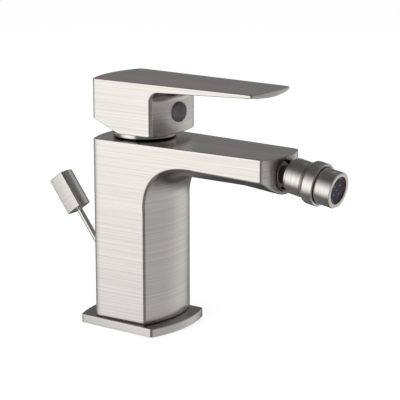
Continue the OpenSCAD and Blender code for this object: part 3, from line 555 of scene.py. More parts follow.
def level_ring(spokes, radius, z, x=0.0):
    """A level ring about an upright axis at x, with one point on each spoke."""
    flat = spokes * np.reshape(radius, (-1, 1)) + (x, 0.0)
    return np.hstack([flat, np.full((len(spokes), 1), z)])


first, _ = rows_between(handle_tags, 0, handle_loops, -100.0, 26.6, axis=0)
_, last = rows_between(handle_tags, 1, handle_loops, -20.6, 100.0, axis=0)
hollow_place, rim = window(handle_points, first, last, 22.5)
edge, wall = (hollow_edge(rim, HOLLOW_RADIUS + more) for more in (EDGE_BREAK, 0.0))
wall[:, 2] += EDGE_BREAK
spokes = unit(wall[:, :2] - (CART_X, 0.0))
square = SPINDLE_HALF / np.abs(spokes).max(1)
rings = ring_rows(rim, edge, on_foot) + [wall]
rings += [level_ring(spokes, radius, z, CART_X) for radius, z in (
    (HOLLOW_RADIUS, HOLLOW_TOP), (HUB_RADIUS, HOLLOW_TOP), (HUB_RADIUS, HUB_FOOT + 0.2),
    (HUB_RADIUS - 0.2, HUB_FOOT), (square, HUB_FOOT), (square, SPINDLE_TOP))]
points, faces = open_grid(handle_points, [(hollow_place, rings)])
new_piece("handle_casting", points, faces, "lever", "handle")

# %% [markdown]
# ## Base plate
# A separate flat plate hides the cut in the deck. Its outline is bowed at front and back, with
# rounded corners, and the upper edge is eased. The outline is carried through a profile of
# insets and heights, and then on to the round opening and the groove of the sealing ring.

# %% Base plate
PLATE_HALF, PLATE_BOW = 27.3, 70.0
QUARTER = np.linspace(0, math.pi / 2, 6)


def bowed_outline(half, front, rounding, radius, inset):
    """The x and y of an outline with two bowed ends and rounded corners, drawn in by an
    inset."""
    keep = INSIDE == 0
    depth, gap = bowed_edge(half - inset, rounding - inset, radius - inset)
    x, y = (front - inset - depth)[keep], (SHARE * (half - inset - gap))[keep]
    return np.concatenate([x, -x]), np.concatenate([y, -y])


def plate_ring(inset, z):
    """The plate's outline, drawn in by an inset, at one height."""
    front = PLATE_HALF + bow(PLATE_BOW, PLATE_HALF)
    x, y = bowed_outline(PLATE_HALF, front, 2.5, PLATE_BOW, inset)
    return np.stack([x, y, np.full(len(x), z)], -1)


spokes = unit(plate_ring(0.0, 0.0)[:, :2])
rows = [plate_ring(0.2, 0.0), plate_ring(0.0, 0.2), plate_ring(0.0, PLATE_TOP - 0.9)]
rows += [plate_ring(0.6 * (1 - math.cos(a)), PLATE_TOP - 0.6 * (1 - math.sin(a)))
         for a in QUARTER]
rows.append(plate_ring(0.9, PLATE_TOP))
rows += [level_ring(spokes, radius, z) for radius, z in (
    (17.2, PLATE_TOP), (16.93, PLATE_TOP - 0.27), (16.93, 0.2), (17.13, 0.0), (18.97, 0.0),
    (18.97, 1.63), (23.23, 1.63), (23.23, 0.0))]
rows.append(plate_ring(0.5, 0.0))
faces = grid_faces(len(rows), len(spokes), close_rows=True, close_cols=True)
new_piece("base_plate_bowed", np.concatenate(rows), faces, "base", "base_plate")

# %% [markdown]
# ## Turned pieces
# Rings, bush, ball and nozzle come off a lathe. Each is a profile of (distance, radius) pairs
# carried round its axis, with small eased edges, because a turned edge always catches light.

# %% Lathe
def eased(corners, count=4):
    """A profile whose corners are eased by short arcs. A corner is (along, radius) or
    (along, radius, ease)."""
    points = [np.array(c[:2], float) for c in corners]
    out = [points[0]]
    for i in range(1, len(points) - 1):
        size = corners[i][2] if len(corners[i]) > 2 else 0.3
        if size == 0:
            out.append(points[i])
            continue
        a, b = points[i - 1] - points[i], points[i + 1] - points[i]
        la, lb = np.linalg.norm(a), np.linalg.norm(b)
        size = min(size, 0.48 * la, 0.48 * lb)
        a, b = points[i] + a / la * size, points[i] + b / lb * size
        for s in np.linspace(0, 1, count):
            out.append((1 - s) ** 2 * a + 2 * s * (1 - s) * points[i] + s**2 * b)
    return out + [points[-1]]


def turned_piece(name, profile, origin, axis, count, body, node, clip=None, sharp=35.0):
    """A turned piece: (distance along, radius) pairs carried round an axis. clip may change
    the radius of every point from its distance, radius and angle."""
    profile = np.asarray(profile, float)
    axis, side = unit(np.asarray(axis, float)), np.array([0.0, 1.0, 0.0])
    up = unit(np.cross(axis, side))
    angle = np.linspace(0, 2 * math.pi, count, endpoint=False)
    along, radius = profile[:, :1], profile[:, 1:] + 0 * angle
    if clip is not None:
        radius = clip(along + 0 * angle, radius, angle)
    spokes = np.cos(angle)[:, None] * up + np.sin(angle)[:, None] * side
    points = np.asarray(origin) + along[..., None] * axis + radius[..., None] * spokes
    faces = grid_faces(len(profile), count, close_cols=True)
    new_piece(name, points.reshape(-1, 3), faces, body, node, sharp)


# %% Round pieces on the body and the handle
UP, FORWARD = (0.0, 0.0, 1.0), (1.0, 0.0, 0.0)
SCREW_Z, PLUG_RADIUS = 135.8, 6.2
PLUG_SEAT = HANDLE_FRONT - bow(BLOCK_BOW, PLUG_RADIUS) - 0.6
PLUG_OUT = HANDLE_FRONT + 3.0 - PLUG_SEAT

profile = eased([
    (3.03, 17.63, 0), (0.0, 17.63, 0.1), (0.0, 18.6, 0.1), (1.2, 18.6, 0.1), (1.2, 19.6, 0.12),
    (3.9, 19.6, 0.7), (3.9, 14.2, 0.2), (3.03, 14.2, 0), (3.03, 17.63, 0)])
turned_piece("collar_ring_turned", profile, (CART_X, 0, BODY_TOP), UP, 160,
             "base", "collar_ring")

profile = eased([(-4.0, 0, 0), (-4.0, 3.0), (0.0, 3.0, 0), (0.0, PLUG_RADIUS, 0.1),
                 (1.0, PLUG_RADIUS, 0)], count=7)
profile += [np.array([1.0 + (PLUG_OUT - 1.0) * math.sin(a) ** 0.8,
                      PLUG_RADIUS * math.cos(a) ** 0.75])
            for a in np.linspace(0, math.pi / 2, 14)]
turned_piece("handle_plug_moulded", profile, (PLUG_SEAT, 0, SCREW_Z), FORWARD, 96,
             "lever", "handle_plug")

profile = eased([(0.0, 0, 0), (0.0, 2.4), (0.5, 2.4, 0.06), (0.5, 0, 0)])
for name, side, slot in (("hot_mark", -1, "hot_red"), ("cold_mark", 1, "cold_blue")):
    turned_piece(name + "_enamel", profile, (-17.34, side * 18.0, 154.5), UP, 64,
                 "lever", name)

# %% [markdown]
# ## Nozzle
# The nozzle hangs on a ball, 9.5 degrees below the level. Behind it a bush is let into the tip.
# The ball stem is screwed into the bush, the sleeve grips the ball from behind, the wide collar
# is screwed on from the front, and the aerator housing with its two flats closes the end.

# %% Bush, ball stem, sleeve and collar
BALL = (112.4, 0.0, SOCKET_Z)
BALL_RADIUS, SEAT_RADIUS = 8.4, 9.26
TILT = math.radians(9.5)
NOZZLE = (math.cos(TILT), 0.0, -math.sin(TILT))


def ball_arc(radius, start, end, count):
    """Profile points on a ball between two distances from its centre."""
    s = np.linspace(start, end, count)
    return [(float(a), float(math.sqrt(radius**2 - a * a)), 0) for a in s]


profile = eased([(0.0, 6.45), (0.0, 9.5), (8.1, 9.5, 0.2), (8.1, 9.0, 0.2), (2.7, 9.0, 0),
                 (2.7, 6.45), (0.0, 6.45)])
turned_piece("socket_bush_turned", profile, (BUSH_BACK, 0, SOCKET_Z), FORWARD, 128,
             "base", "socket_bush")

stem_back, flange = 88.5 - BALL[0], 101.1 - BALL[0]
profile = eased(
    [(7.76, 3.25, 0), (stem_back, 3.25, 0.3), (stem_back, 6.4, 0.5), (flange, 6.4, 0),
     (flange, 7.8), (flange + 2.0, 7.8, 0.3), (flange + 2.0, 5.2, 0.4)]
    + ball_arc(BALL_RADIUS, -6.58, 7.74, 40))
turned_piece("ball_stem_turned", profile + [profile[0]], BALL, FORWARD, 128,
             "base", "ball_stem")

profile = eased(
    [(-3.2, 7.85, 0), (-3.2, 9.4, 0.3), (-1.4, 9.4, 0.25), (-1.4, 10.65, 0.4),
     (8.38, 10.65, 0.08), (8.38, 9.65, 0), (2.0, 9.65, 0)]
    + ball_arc(SEAT_RADIUS, 2.0, 0.45, 4) + ball_arc(8.48, 0.4, -3.2, 10), count=7)
turned_piece("swivel_sleeve_turned", profile, BALL, NOZZLE, 160,
             "nozzle", "swivel_sleeve")

profile = eased(
    [(2.03, 9.6, 0), (8.63, 9.6, 0), (8.63, 10.65, 0.08), (9.2, 10.75, 0.4), (11.2, 12.8, 0.9),
     (18.1, 12.8, 0.45), (18.1, 11.4, 0.25), (15.6, 11.4, 0), (15.6, 9.85, 0),
     (10.4, 9.85, 0), (10.4, 4.5, 0)] + ball_arc(SEAT_RADIUS, 8.09, 2.1, 14), count=7)
turned_piece("swivel_collar_turned", profile + [profile[0]], BALL, NOZZLE, 160,
             "nozzle", "swivel_collar")

# %% Aerator housing with its two flats
HOUSING_RADIUS, HOUSING_END = 10.75, 28.6
FLAT_START, FLAT_HALF, FLAT_RUN = 23.8, 10.15, 0.25


def key_flats(along, radius, angle):
    """Above and below, the front of the housing is cut flat: the radius there is never more
    than the flat's distance divided by the cosine of the angle from the upright."""
    flat = FLAT_HALF / np.maximum(np.abs(np.cos(angle)), 1e-6)
    share = np.clip((along - FLAT_START) / FLAT_RUN, 0, 1)
    return np.where(share > 0, np.minimum(radius, flat + (1 - share) * 0.6), radius)


profile = eased(
    [(10.45, 9.8, 0), (15.63, 9.8, 0), (15.63, HOUSING_RADIUS, 0.15),
     (HOUSING_END, HOUSING_RADIUS, 0.35), (HOUSING_END, 8.15, 0.25), (27.5, 8.15, 0),
     (27.5, 8.55, 0), (10.45, 8.55, 0)], count=7)
outer = [i for i, p in enumerate(profile) if p[1] > HOUSING_RADIUS - 0.05 and p[0] > 20][0]
for_flats = [np.array((s, HOUSING_RADIUS))
             for s in (18.0, 21.0, 23.6, FLAT_START, 23.87, 23.95, 24.05, 24.3, 26.0)]
profile = profile[:outer] + for_flats + profile[outer:]
turned_piece("aerator_housing_turned", profile + [profile[0]], BALL, NOZZLE, 240,
             "nozzle", "aerator_housing", clip=key_flats, sharp=24.0)

# %% [markdown]
# ## Lift rod and knob
# The waste is opened by a thin rod that comes out of the back of the column. The knob repeats
# the shape of the column: two flat sides, and a bowed front and back. Its outline is carried
# along the rod, and the ends are eased.

# %% Rod and knob
ROD_FOOT = np.array([ROD_FOOT_X, 0.0, 0.0])
KNOB_FROM, KNOB_TO = 81.0, 81.0 + 24.8
KNOB_HALF, KNOB_BOW = 5.5, 13.2
KNOB_ACROSS = np.array([math.cos(ROD_LEAN), 0.0, math.sin(ROD_LEAN)])
ROD_HOLE = 1.83

profile = eased([(2.2, 0, 0), (2.2, 1.8, 0.4), (30.0, 1.8, 0), (60.0, 1.8, 0),
                 (89.9, 1.8, 0.3), (89.9, 0, 0)])
turned_piece("lift_rod_drawn", profile, ROD_FOOT, ROD_AXIS, 64,
             "waste_lift", "lift_rod")


def knob_ring(inset, along):
    """The knob's outline, drawn in by an inset, at a distance along the rod."""
    x, y = bowed_outline(KNOB_HALF, 5.85 + bow(KNOB_BOW, KNOB_HALF), 0.9, KNOB_BOW, inset)
    return (ROD_FOOT + ROD_AXIS * along + x[:, None] * KNOB_ACROSS
            + y[:, None] * np.array([0.0, 1.0, 0.0]))


def rod_ring(radius, along):
    """A circle round the rod with one point towards each point of the knob's outline."""
    like = knob_ring(0, KNOB_FROM)
    return ROD_FOOT + ROD_AXIS * along + unit(like - like.mean(0)) * radius


rows = [rod_ring(ROD_HOLE, KNOB_FROM + 9.0), rod_ring(ROD_HOLE, KNOB_FROM + 0.3),
        rod_ring(ROD_HOLE + 0.3, KNOB_FROM), knob_ring(0.7, KNOB_FROM)]
rows += [knob_ring(0.4 * (1 - math.sin(a)), KNOB_FROM + 0.4 * (1 - math.cos(a)))
         for a in QUARTER]
rows += [knob_ring(0.0, KNOB_FROM + 0.7), knob_ring(0.0, KNOB_TO - 0.8)]
rows += [knob_ring(0.5 * (1 - math.cos(a)), KNOB_TO - 0.5 * (1 - math.sin(a)))
         for a in QUARTER]
rows.append(knob_ring(0.8, KNOB_TO))
size = len(rows[0])
faces = grid_faces(len(rows), size, close_cols=True)
faces += [list(range(size)), list(range(size * (len(rows) - 1), size * len(rows)))]
new_piece("lift_knob_bowed", np.concatenate(rows), faces, "waste_lift", "lift_knob")

# %% [markdown]
# ## Brushed metal
# Brushed nickel is plated brass that an abrasive belt has dragged over: the marks are long and
# very narrow, and they run level on the column, the handle and the lever. They show as fine
# streaks in gloss and colour. One shared group of nodes makes the marks from noise, in the
# object's own coordinates, and every metal material stretches those coordinates its own way.

# %% Node helpers
def link(tree, source, target):
    """Joins two sockets of a node tree."""
    tree.links.new(source, target)


def add(tree, kind, inputs=None, out=0, **settings):
    """Adds a shader node and gives one of its outputs. Inputs and outputs go by name or by
    number, and an input gets a number, several numbers or another socket."""
    node = tree.nodes.new("ShaderNode" + kind)
    for key, value in settings.items():
        setattr(node, key, value)
    for key, value in (inputs or {}).items():
        if isinstance(value, bpy.types.NodeSocket):
            link(tree, value, node.inputs[key])
        else:
            node.inputs[key].default_value = value
    return node.outputs[out]


def noise(tree, vector, scale, detail, rough=0.6):
    """A noise texture read at a vector."""
    return add(tree, "TexNoise", {"Vector": vector, "Scale": scale, "Detail": detail,
                                  "Roughness": rough}, "Fac")


def spread(tree, value, low, high, to_low=0.0, to_high=1.0, kind="LINEAR"):
    """Maps a value from one range to another, and keeps it within that one."""
    return add(tree, "MapRange", {"Value": value, "From Min": low, "From Max": high,
                                  "To Min": to_low, "To Max": to_high},
               "Result", interpolation_type=kind)


def sums(tree, operation, first, *others):
    """A sum, product or other pair operation on two or more values, one after the other."""
    for other in others:
        first = add(tree, "Math", {0: first, 1: other}, "Value", operation=operation)
    return first


def weighed(tree, first, second, share):
    """The first value times its share, plus the second value times the rest."""
    return sums(tree, "ADD", sums(tree, "MULTIPLY", first, share),
                sums(tree, "MULTIPLY", second, 1 - share))


def blend(tree, share, first, second):
    """A colour between two colours."""
    first, second = ((*c, 1.0) if isinstance(c, tuple) else c for c in (first, second))
    return add(tree, "Mix", {0: share, 6: first, 7: second}, 2, data_type="RGBA")


def axes(tree, kind):
    """The X, Y and Z parts of the object's coordinates, or of its normals."""
    return add(tree, "SeparateXYZ", {0: add(tree, "TexCoord", out=kind)}).node.outputs


def stretched(tree, scale, turn=0.0):
    """The object's coordinates, turned about y and then scaled along each axis."""
    turned_by = add(tree, "Mapping", {"Vector": add(tree, "TexCoord", out="Object"),
                                      "Rotation": (0.0, turn, 0.0)})
    return add(tree, "Mapping", {"Vector": turned_by, "Scale": scale})


def new_material(name):
    """A node material with its tree and its shader."""
    material = bpy.data.materials.new(name)
    material.use_nodes = True
    return material, material.node_tree, material.node_tree.nodes["Principled BSDF"]


def give_relief(tree, shader, height, strength, depth):
    """Gives a shader a fine relief of a depth in metres."""
    bump = add(tree, "Bump", {"Height": height, "Strength": strength, "Distance": depth})
    link(tree, bump, shader.inputs["Normal"])


# %% The shared brush marks
def brush_group():
    """Brush marks from a stretched vector: fine hairs, wider bands, and soft clouds where the
    belt pressed harder."""
    tree = bpy.data.node_groups.new("brush_marks", "ShaderNodeTree")
    tree.interface.new_socket("Vector", in_out="INPUT", socket_type="NodeSocketVector")
    marks = (("Hairs", 1.0, 5.0, 0.75), ("Bands", 0.38, 3.0, 0.6), ("Clouds", 0.03, 2.0, 0.5))
    for name, *_ in marks:
        tree.interface.new_socket(name, in_out="OUTPUT", socket_type="NodeSocketFloat")
    enter, leave = tree.nodes.new("NodeGroupInput"), tree.nodes.new("NodeGroupOutput")
    for name, scale, detail, rough in marks:
        mark = noise(tree, enter.outputs["Vector"], scale, detail, rough)
        link(tree, spread(tree, mark, 0.3, 0.7), leave.inputs[name])
    return tree


BRUSH = brush_group()


def brushed_metal(name, scale, tones, gloss=(0.17, 0.29), depth=0.24, turn=0.0, top=None,
                  bare_or_painted_shade=None, fine=0.55):
    """Metal with brush marks between two tones. The scale gives the marks per metre along each
    axis; top gives another scale for faces that look up or down. Fine is the share of the
    hairs against the bands. A (mask, colour) pair mixes in painted shade where the real metal
    lies in shade, or a brass colour inside the housing's mouth."""
    material, tree, shader = new_material(name)
    vector = stretched(tree, scale, turn)
    if top:
        steep = sums(tree, "ABSOLUTE", axes(tree, "Normal")["Z"], 0.0)
        level = sums(tree, "GREATER_THAN", steep, 0.72)
        vector = add(tree, "Mix", {0: level, 4: vector, 5: stretched(tree, top, turn)}, 1,
                     data_type="VECTOR")
    marks = add(tree, "Group", {"Vector": vector}, node_tree=BRUSH).node.outputs
    tone = weighed(tree, marks["Hairs"], marks["Bands"], fine)
    colour = blend(tree, tone, tones[1], tones[0])
    # Painted shade, or the brass colour inside the housing's mouth, is mixed in by a mask.
    if bare_or_painted_shade:
        colour = blend(tree, bare_or_painted_shade[0](tree), colour, bare_or_painted_shade[1])
    link(tree, colour, shader.inputs["Base Color"])
    wear = weighed(tree, marks["Hairs"], marks["Clouds"], 0.6)
    link(tree, spread(tree, wear, 0.0, 1.0, gloss[1], gloss[0]), shader.inputs["Roughness"])
    shader.inputs["Metallic"].default_value = 1.0
    give_relief(tree, shader, tone, depth, 0.0001)
    return material


# %% [markdown]
# ## Painted shade, and brass in the mouth
# Some places are painted darker, as painted shade: the underside of the spout and the sweep,
# the underside of the lever, the foot of the column, the top of the base plate, the recess at
# the foot of the collar ring, and the inside of the bush with the tip around it. The inner
# wall of the aerator housing gets a brass colour. A mask gives each of these places by its
# position and by the way that the face looks.

# %% Masks
def from_axis(tree, point, lean, spot=(0.0, 0.0)):
    """Distance from an axis through a point, in metres. The axis lies along x and leans down by
    an angle. A spot shifts it sideways and upwards, in millimetres."""
    up = (math.sin(lean), 0.0, math.cos(lean))
    centre = [(point[i] + up[i] * spot[1]) * MM for i in range(3)]
    centre[1] += spot[0] * MM
    away = add(tree, "VectorMath", {0: add(tree, "TexCoord", out="Object"), 1: centre},
               operation="SUBTRACT")
    level = add(tree, "Mapping", {"Vector": away, "Rotation": (0.0, -lean, 0.0)})
    flat = add(tree, "Mapping", {"Vector": level, "Scale": (0.0, 1.0, 1.0)})
    return add(tree, "VectorMath", {0: flat}, "Value", operation="LENGTH")


def fades(tree, value, start, end, full=1.0):
    """Falls from full to 0 between two places in millimetres."""
    return spread(tree, value, start * MM, end * MM, full, 0.0)


def rises(tree, value, start, end):
    """Rises from 0 to 1 between two places in millimetres."""
    return spread(tree, value, start * MM, end * MM)


def ring_recess_painted_shade(tree):
    """1 in the recess at the foot of the collar ring, by height: painted shade, nearly black."""
    return fades(tree, axes(tree, "Object")["Z"], BODY_TOP + 1.17, BODY_TOP + 1.22)


def bush_painted_shade(tree):
    """1 inside the bush in the tip, by distance from its axis: painted shade there."""
    return fades(tree, from_axis(tree, BALL, 0.0), 9.02, 9.12)


def inside_the_mouth(tree):
    """1 on the inner wall of the aerator housing, by distance from the nozzle's axis."""
    return fades(tree, from_axis(tree, BALL, TILT), 8.3, 8.4)


def plate_top_painted_shade(tree):
    """Near 1 on the level top of the base plate, which is painted darker as shade from the column.
    """
    return spread(tree, axes(tree, "Normal")["Z"], 0.8, 0.98, 0.0, 0.85)


def casting_painted_shade(tree):
    """Painted shade on the castings, from 0 to 1: fully under the spout and the sweep,
    by 0.9 next to the bush, by 0.6 under the lever, by 0.35 just above the base plate."""
    x, _, z = axes(tree, "Object")
    ahead, _, upward = axes(tree, "Normal")
    under = sums(tree, "MULTIPLY", spread(tree, upward, -0.76, -0.58, 1.0, 0.0),
                 fades(tree, z, BODY_TOP - 12.0, BODY_TOP - 10.0), rises(tree, z, 40.0, 45.0))
    tip = sums(tree, "MULTIPLY", fades(tree, from_axis(tree, BALL, 0.0), 10.2, 15.8, 0.9),
               rises(tree, x, 96.0, 97.0), spread(tree, ahead, 0.5, 0.7))
    lever = sums(tree, "MULTIPLY", spread(tree, upward, -0.8, -0.3, 0.6, 0.0),
                 rises(tree, z, 140.0, 141.0))
    foot = fades(tree, z, PLATE_TOP, PLATE_TOP + 2.6, 0.35)
    return sums(tree, "MAXIMUM", under, tip, lever, foot)


# %% [markdown]
# ## Metal finishes
# The castings and the plate have level marks, the lathe leaves rings on the nozzle, and the
# knob is brushed across its rod. Collar ring, rod and bush are smoother and brighter. The ball
# is dull, and its dark colour is painted shade inside the socket. The hidden pieces of brass
# and steel stay as they were turned.

# %% Metals and their pieces
LEVEL, LEVEL_TOP = (9.0, 9.0, 1500.0), (9.0, 1500.0, 9.0)
NICKEL = ((0.93, 0.905, 0.86), (0.67, 0.645, 0.605))
BRIGHT = ((0.84, 0.82, 0.78), (0.78, 0.76, 0.72))
TURNED = dict(scale=(1500.0, 12.0, 12.0), tones=NICKEL, gloss=(0.17, 0.28), depth=0.1,
              turn=-TILT, fine=0.9)
METALS = {
    # The dark colour on the castings is painted shade under overhangs, around the bush and at the
    # foot.
    "casting_nickel": (("body_casting", "body_foot", "handle_casting"), dict(
        scale=LEVEL, tones=NICKEL, top=LEVEL_TOP, bare_or_painted_shade=(casting_painted_shade, (0.27, 0.26, 0.245)))),
    # The darker colour on the top of the base plate is painted shade.
    "plate_nickel": (("base_plate_bowed",), dict(
        scale=LEVEL, tones=NICKEL, top=LEVEL_TOP, bare_or_painted_shade=(plate_top_painted_shade, (0.36, 0.35, 0.33)))),
    "nozzle_nickel": (("swivel_sleeve_turned", "swivel_collar_turned"), TURNED),
    "housing_nickel": (("aerator_housing_turned",), dict(
        TURNED, bare_or_painted_shade=(inside_the_mouth, (0.80, 0.56, 0.40)))),
    "knob_nickel": (("lift_knob_bowed",), dict(
        scale=LEVEL, tones=((0.90, 0.875, 0.83), (0.68, 0.655, 0.615)), turn=ROD_LEAN)),
    # The near-black colour at the foot of the collar ring is painted shade in its recess.
    "ring_nickel": (("collar_ring_turned",), dict(
        scale=(20.0, 20.0, 700.0), tones=BRIGHT, gloss=(0.12, 0.2), depth=0.04,
        bare_or_painted_shade=(ring_recess_painted_shade, (0.012, 0.011, 0.010)))),
    # The darker colour inside the bush is painted shade in its hollow.
    "bush_nickel": (("socket_bush_turned",), dict(
        scale=(700.0, 20.0, 20.0), tones=BRIGHT, gloss=(0.42, 0.55), depth=0.04,
        bare_or_painted_shade=(bush_painted_shade, (0.30, 0.28, 0.255)))),
    # The ball's dark tones are painted shade: it lies deep in the socket.
    "ball_nickel": (("ball_stem_turned",), dict(
        scale=(700.0, 20.0, 20.0), tones=((0.50, 0.48, 0.45), (0.44, 0.42, 0.39)),
        gloss=(0.45, 0.6), depth=0.04)),
    "rod_nickel": (("lift_rod_drawn",), dict(
        scale=(30.0, 30.0, 500.0), tones=BRIGHT, gloss=(0.14, 0.22), depth=0.04,
        turn=ROD_LEAN)),
    "raw_brass": (("spindle", "retaining_nut"), dict(
        scale=(40.0, 40.0, 600.0), tones=((0.86, 0.66, 0.33), (0.74, 0.54, 0.25)),
        gloss=(0.25, 0.4), depth=0.05)),
    "plain_steel": (("pivot_pin", "set_screw"), dict(
        scale=(600.0, 30.0, 30.0), tones=((0.66, 0.66, 0.67), (0.52, 0.52, 0.53)),
        gloss=(0.25, 0.4), depth=0.05))}


def give(material, names):
    """Gives a finish to new pieces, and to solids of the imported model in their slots."""
    for name in names:
        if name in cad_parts:
            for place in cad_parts[name].material_slots:
                place.material = material
        else:
            mesh = bpy.data.objects[name].data
            mesh.materials.clear()
            mesh.materials.append(material)


for name, (pieces, look) in METALS.items():
    give(brushed_metal(name, **look), pieces)
print("metals", len(METALS))

# %% [markdown]
# ## Plastics, rubber, ceramic and enamel
# Moulded parts have no brush marks. They have a fine grain from the mould, slightly uneven
# gloss, and a trace of dust. Fine noise in the height, a broader one in the gloss and a weak
# one in the colour are enough for that. The aerator's screen is a dark mesh with five pips,
# four in a square and one in the middle, and smaller patches of its two tones.

# %% Moulded materials and their pieces
PIP = 2.7, 2.6


def screen_pips(tree):
    """1 on the five small pips of the screen."""
    spots = [(0, 0)] + [(side * PIP[0], up * PIP[1]) for up in (1, -1) for side in (-1, 1)]
    return sums(tree, "MAXIMUM", *(
        fades(tree, from_axis(tree, BALL, TILT, spot), 0.42, 0.7) for spot in spots))


def moulded(name, light, dark, gloss=(0.35, 0.5), grain=0.15, scale=2500.0, patches=180.0,
            pips=None):
    """A plain material with the grain of its mould, and patches of its two tones. Pips make a
    mask of lighter places."""
    material, tree, shader = new_material(name)
    vector = stretched(tree, (1.0, 1.0, 1.0))
    fine, broad = noise(tree, vector, scale, 3.0), noise(tree, vector, patches, 4.0)
    colour = blend(tree, spread(tree, broad, 0.3, 0.7), dark, light)
    if pips:
        colour = blend(tree, pips(tree), colour, (0.42, 0.43, 0.46))
    link(tree, colour, shader.inputs["Base Color"])
    uneven = spread(tree, weighed(tree, fine, broad, 0.5), 0.3, 0.7, *gloss)
    link(tree, uneven, shader.inputs["Roughness"])
    give_relief(tree, shader, fine, grain, 0.00005)
    return material


MOULDED = {
    "plug_plastic": (("handle_plug_moulded",), (
        (0.23, 0.23, 0.232), (0.20, 0.20, 0.203), (0.45, 0.55), 0.1)),
    "screen_plastic": (("aerator_screen",), (
        (0.13, 0.145, 0.175), (0.012, 0.014, 0.02), (0.3, 0.45), 0.15, 1400.0, 900.0,
        screen_pips)),
    "dark_plastic": (("cartridge_base", "cartridge_housing"), (
        (0.06, 0.06, 0.065), (0.04, 0.04, 0.045))),
    "white_plastic": (("disc_carrier", "rotor", "ball_seat", "aerator_insert", "rod_bush"), (
        (0.82, 0.82, 0.80), (0.74, 0.74, 0.71))),
    "black_rubber": (("base_gasket", "port_seals", "stem_washer", "ball_seal",
                      "aerator_gasket", "rod_seal"), (
        (0.035, 0.035, 0.037), (0.022, 0.022, 0.024), (0.55, 0.75), 0.3)),
    "ceramic": (("fixed_disc", "moving_disc"), (
        (0.88, 0.87, 0.83), (0.80, 0.79, 0.75), (0.15, 0.25), 0.05)),
    "hot_red": (("hot_mark_enamel",), (
        (0.40, 0.085, 0.065), (0.34, 0.07, 0.055), (0.3, 0.4), 0.05)),
    "cold_blue": (("cold_mark_enamel",), (
        (0.02, 0.13, 0.24), (0.016, 0.105, 0.20), (0.3, 0.4), 0.05))}
for name, (pieces, look) in MOULDED.items():
    give(moulded(name, *look), pieces)
print("moulded finishes", len(MOULDED))

# %% [markdown]
# ## Floor, tent and light
# The picture is a plain studio shot on white. Metal shows what stands around it, so it stands
# in a dark tent with a few bright fields, as a photographer builds it: a large one on the left,
# grey ones on the right, and weaker ones behind, above and below. Only reflections see the
# tent. The camera sees the white floor and the white background.

# %% Floor and background
STUDIO_X, STUDIO_Z = 0.04, 0.08
FLOOR_RADIUS, FLOOR_Z = 6.0, -0.0004
FLOOR_RINGS, FLOOR_SPOKES = 12, 96


def seen_directly(tree):
    """1 for rays from the camera and for reflected or refracted ones, 0 for lighting."""
    path = add(tree, "LightPath").node.outputs
    return sums(tree, "MAXIMUM", path["Is Glossy Ray"], path["Is Transmission Ray"],
                path["Is Camera Ray"])


def only_glow(name):
    """A material without its usual shader, and the socket for another one."""
    material, tree, shader = new_material(name)
    tree.nodes.remove(shader)
    return material, tree, tree.nodes["Material Output"].inputs["Surface"]


r = np.linspace(0.001, FLOOR_RADIUS, FLOOR_RINGS)[:, None]
a = np.linspace(0, 2 * math.pi, FLOOR_SPOKES, endpoint=False)[None]
points = np.stack([STUDIO_X + r * np.cos(a), r * np.sin(a),
                   np.full((FLOOR_RINGS, FLOOR_SPOKES), FLOOR_Z)], -1)
faces = grid_faces(FLOOR_RINGS, FLOOR_SPOKES, close_cols=True) + [list(range(FLOOR_SPOKES))]
_, floor = bare_mesh("studio_floor", points.reshape(-1, 3), faces)
floor.visible_glossy = False
floor_paper, tree, surface = only_glow("floor_paper")
matt = add(tree, "BsdfDiffuse", {"Color": (0.36, 0.36, 0.36, 1.0)})
glow = add(tree, "Emission", {"Strength": sums(tree, "MULTIPLY", seen_directly(tree), 0.74)})
link(tree, add(tree, "AddShader", {0: matt, 1: glow}), surface)
floor.data.materials.append(floor_paper)

world = bpy.data.worlds.new("white_studio")
bpy.context.scene.world = world
world.use_nodes = True
tree = world.node_tree
background = tree.nodes["Background"]
background.inputs["Color"].default_value = (1.0, 1.0, 1.0, 1.0)
link(tree, spread(tree, seen_directly(tree), 0.0, 1.0, 0.6, 1.0), background.inputs["Strength"])

# %% The light tent that only reflections see
TENT, TENT_ROWS, TENT_COLS = 0.9, 40, 64
BASE_GLOW, HORIZON_GLOW = 0.088, 0.04
SIGHT_HEIGHT = 13.6
# Each field: compass angles, heights, strength, lean.
FIELDS = [
    ((-165, -123, -100, -84), (-48, -15, 4, 58), 0.85, 0.0),
    ((-165, -123, -100, -84), (-19, -7, 4, 30), 0.18, 0.0),
    ((-30, -10, 84, 104), (-30, -20, -10, 6), 0.325, 0.8),
    ((-30, -10, 48, 102), (-72, -34, -30, -20), 0.325, 0.0),
    ((40, 74, 84, 102), (-34, -20, -10, 6), 0.19, 0.8),
    ((-64, -52, -44, -34), (-40, -30, 0, 12), 0.08, 0.0),
    ((16, 60, 84, 100), (8, 18, 30, 40), 0.32, 0.0),
    ((84, 116, 134, 166), (2, 12, 20, 34), 0.075, 0.0),
    ((-100, -80, -30, -10), (-95, -91, -72, -56), 0.2, 0.0),
    ((-200, -190, -176, -160), (-60, -40, -8, 4), 0.3, 0.0),
    ((158, 172, 190, 200), (-60, -40, -8, 4), 0.3, 0.0),
    ((-90, -60, 90, 124), (38, 58, 91, 95), 0.2, 0.0),
    ((142, 152, 176, 186), (33, 39, 45, 51), 0.25, 0.0)]


def smooth_step(tree, value, start, end):
    """Rises smoothly from 0 at the start to 1 at the end, which may be the smaller number."""
    return spread(tree, value, min(start, end), max(start, end), float(start > end),
                  float(start < end), "SMOOTHSTEP")


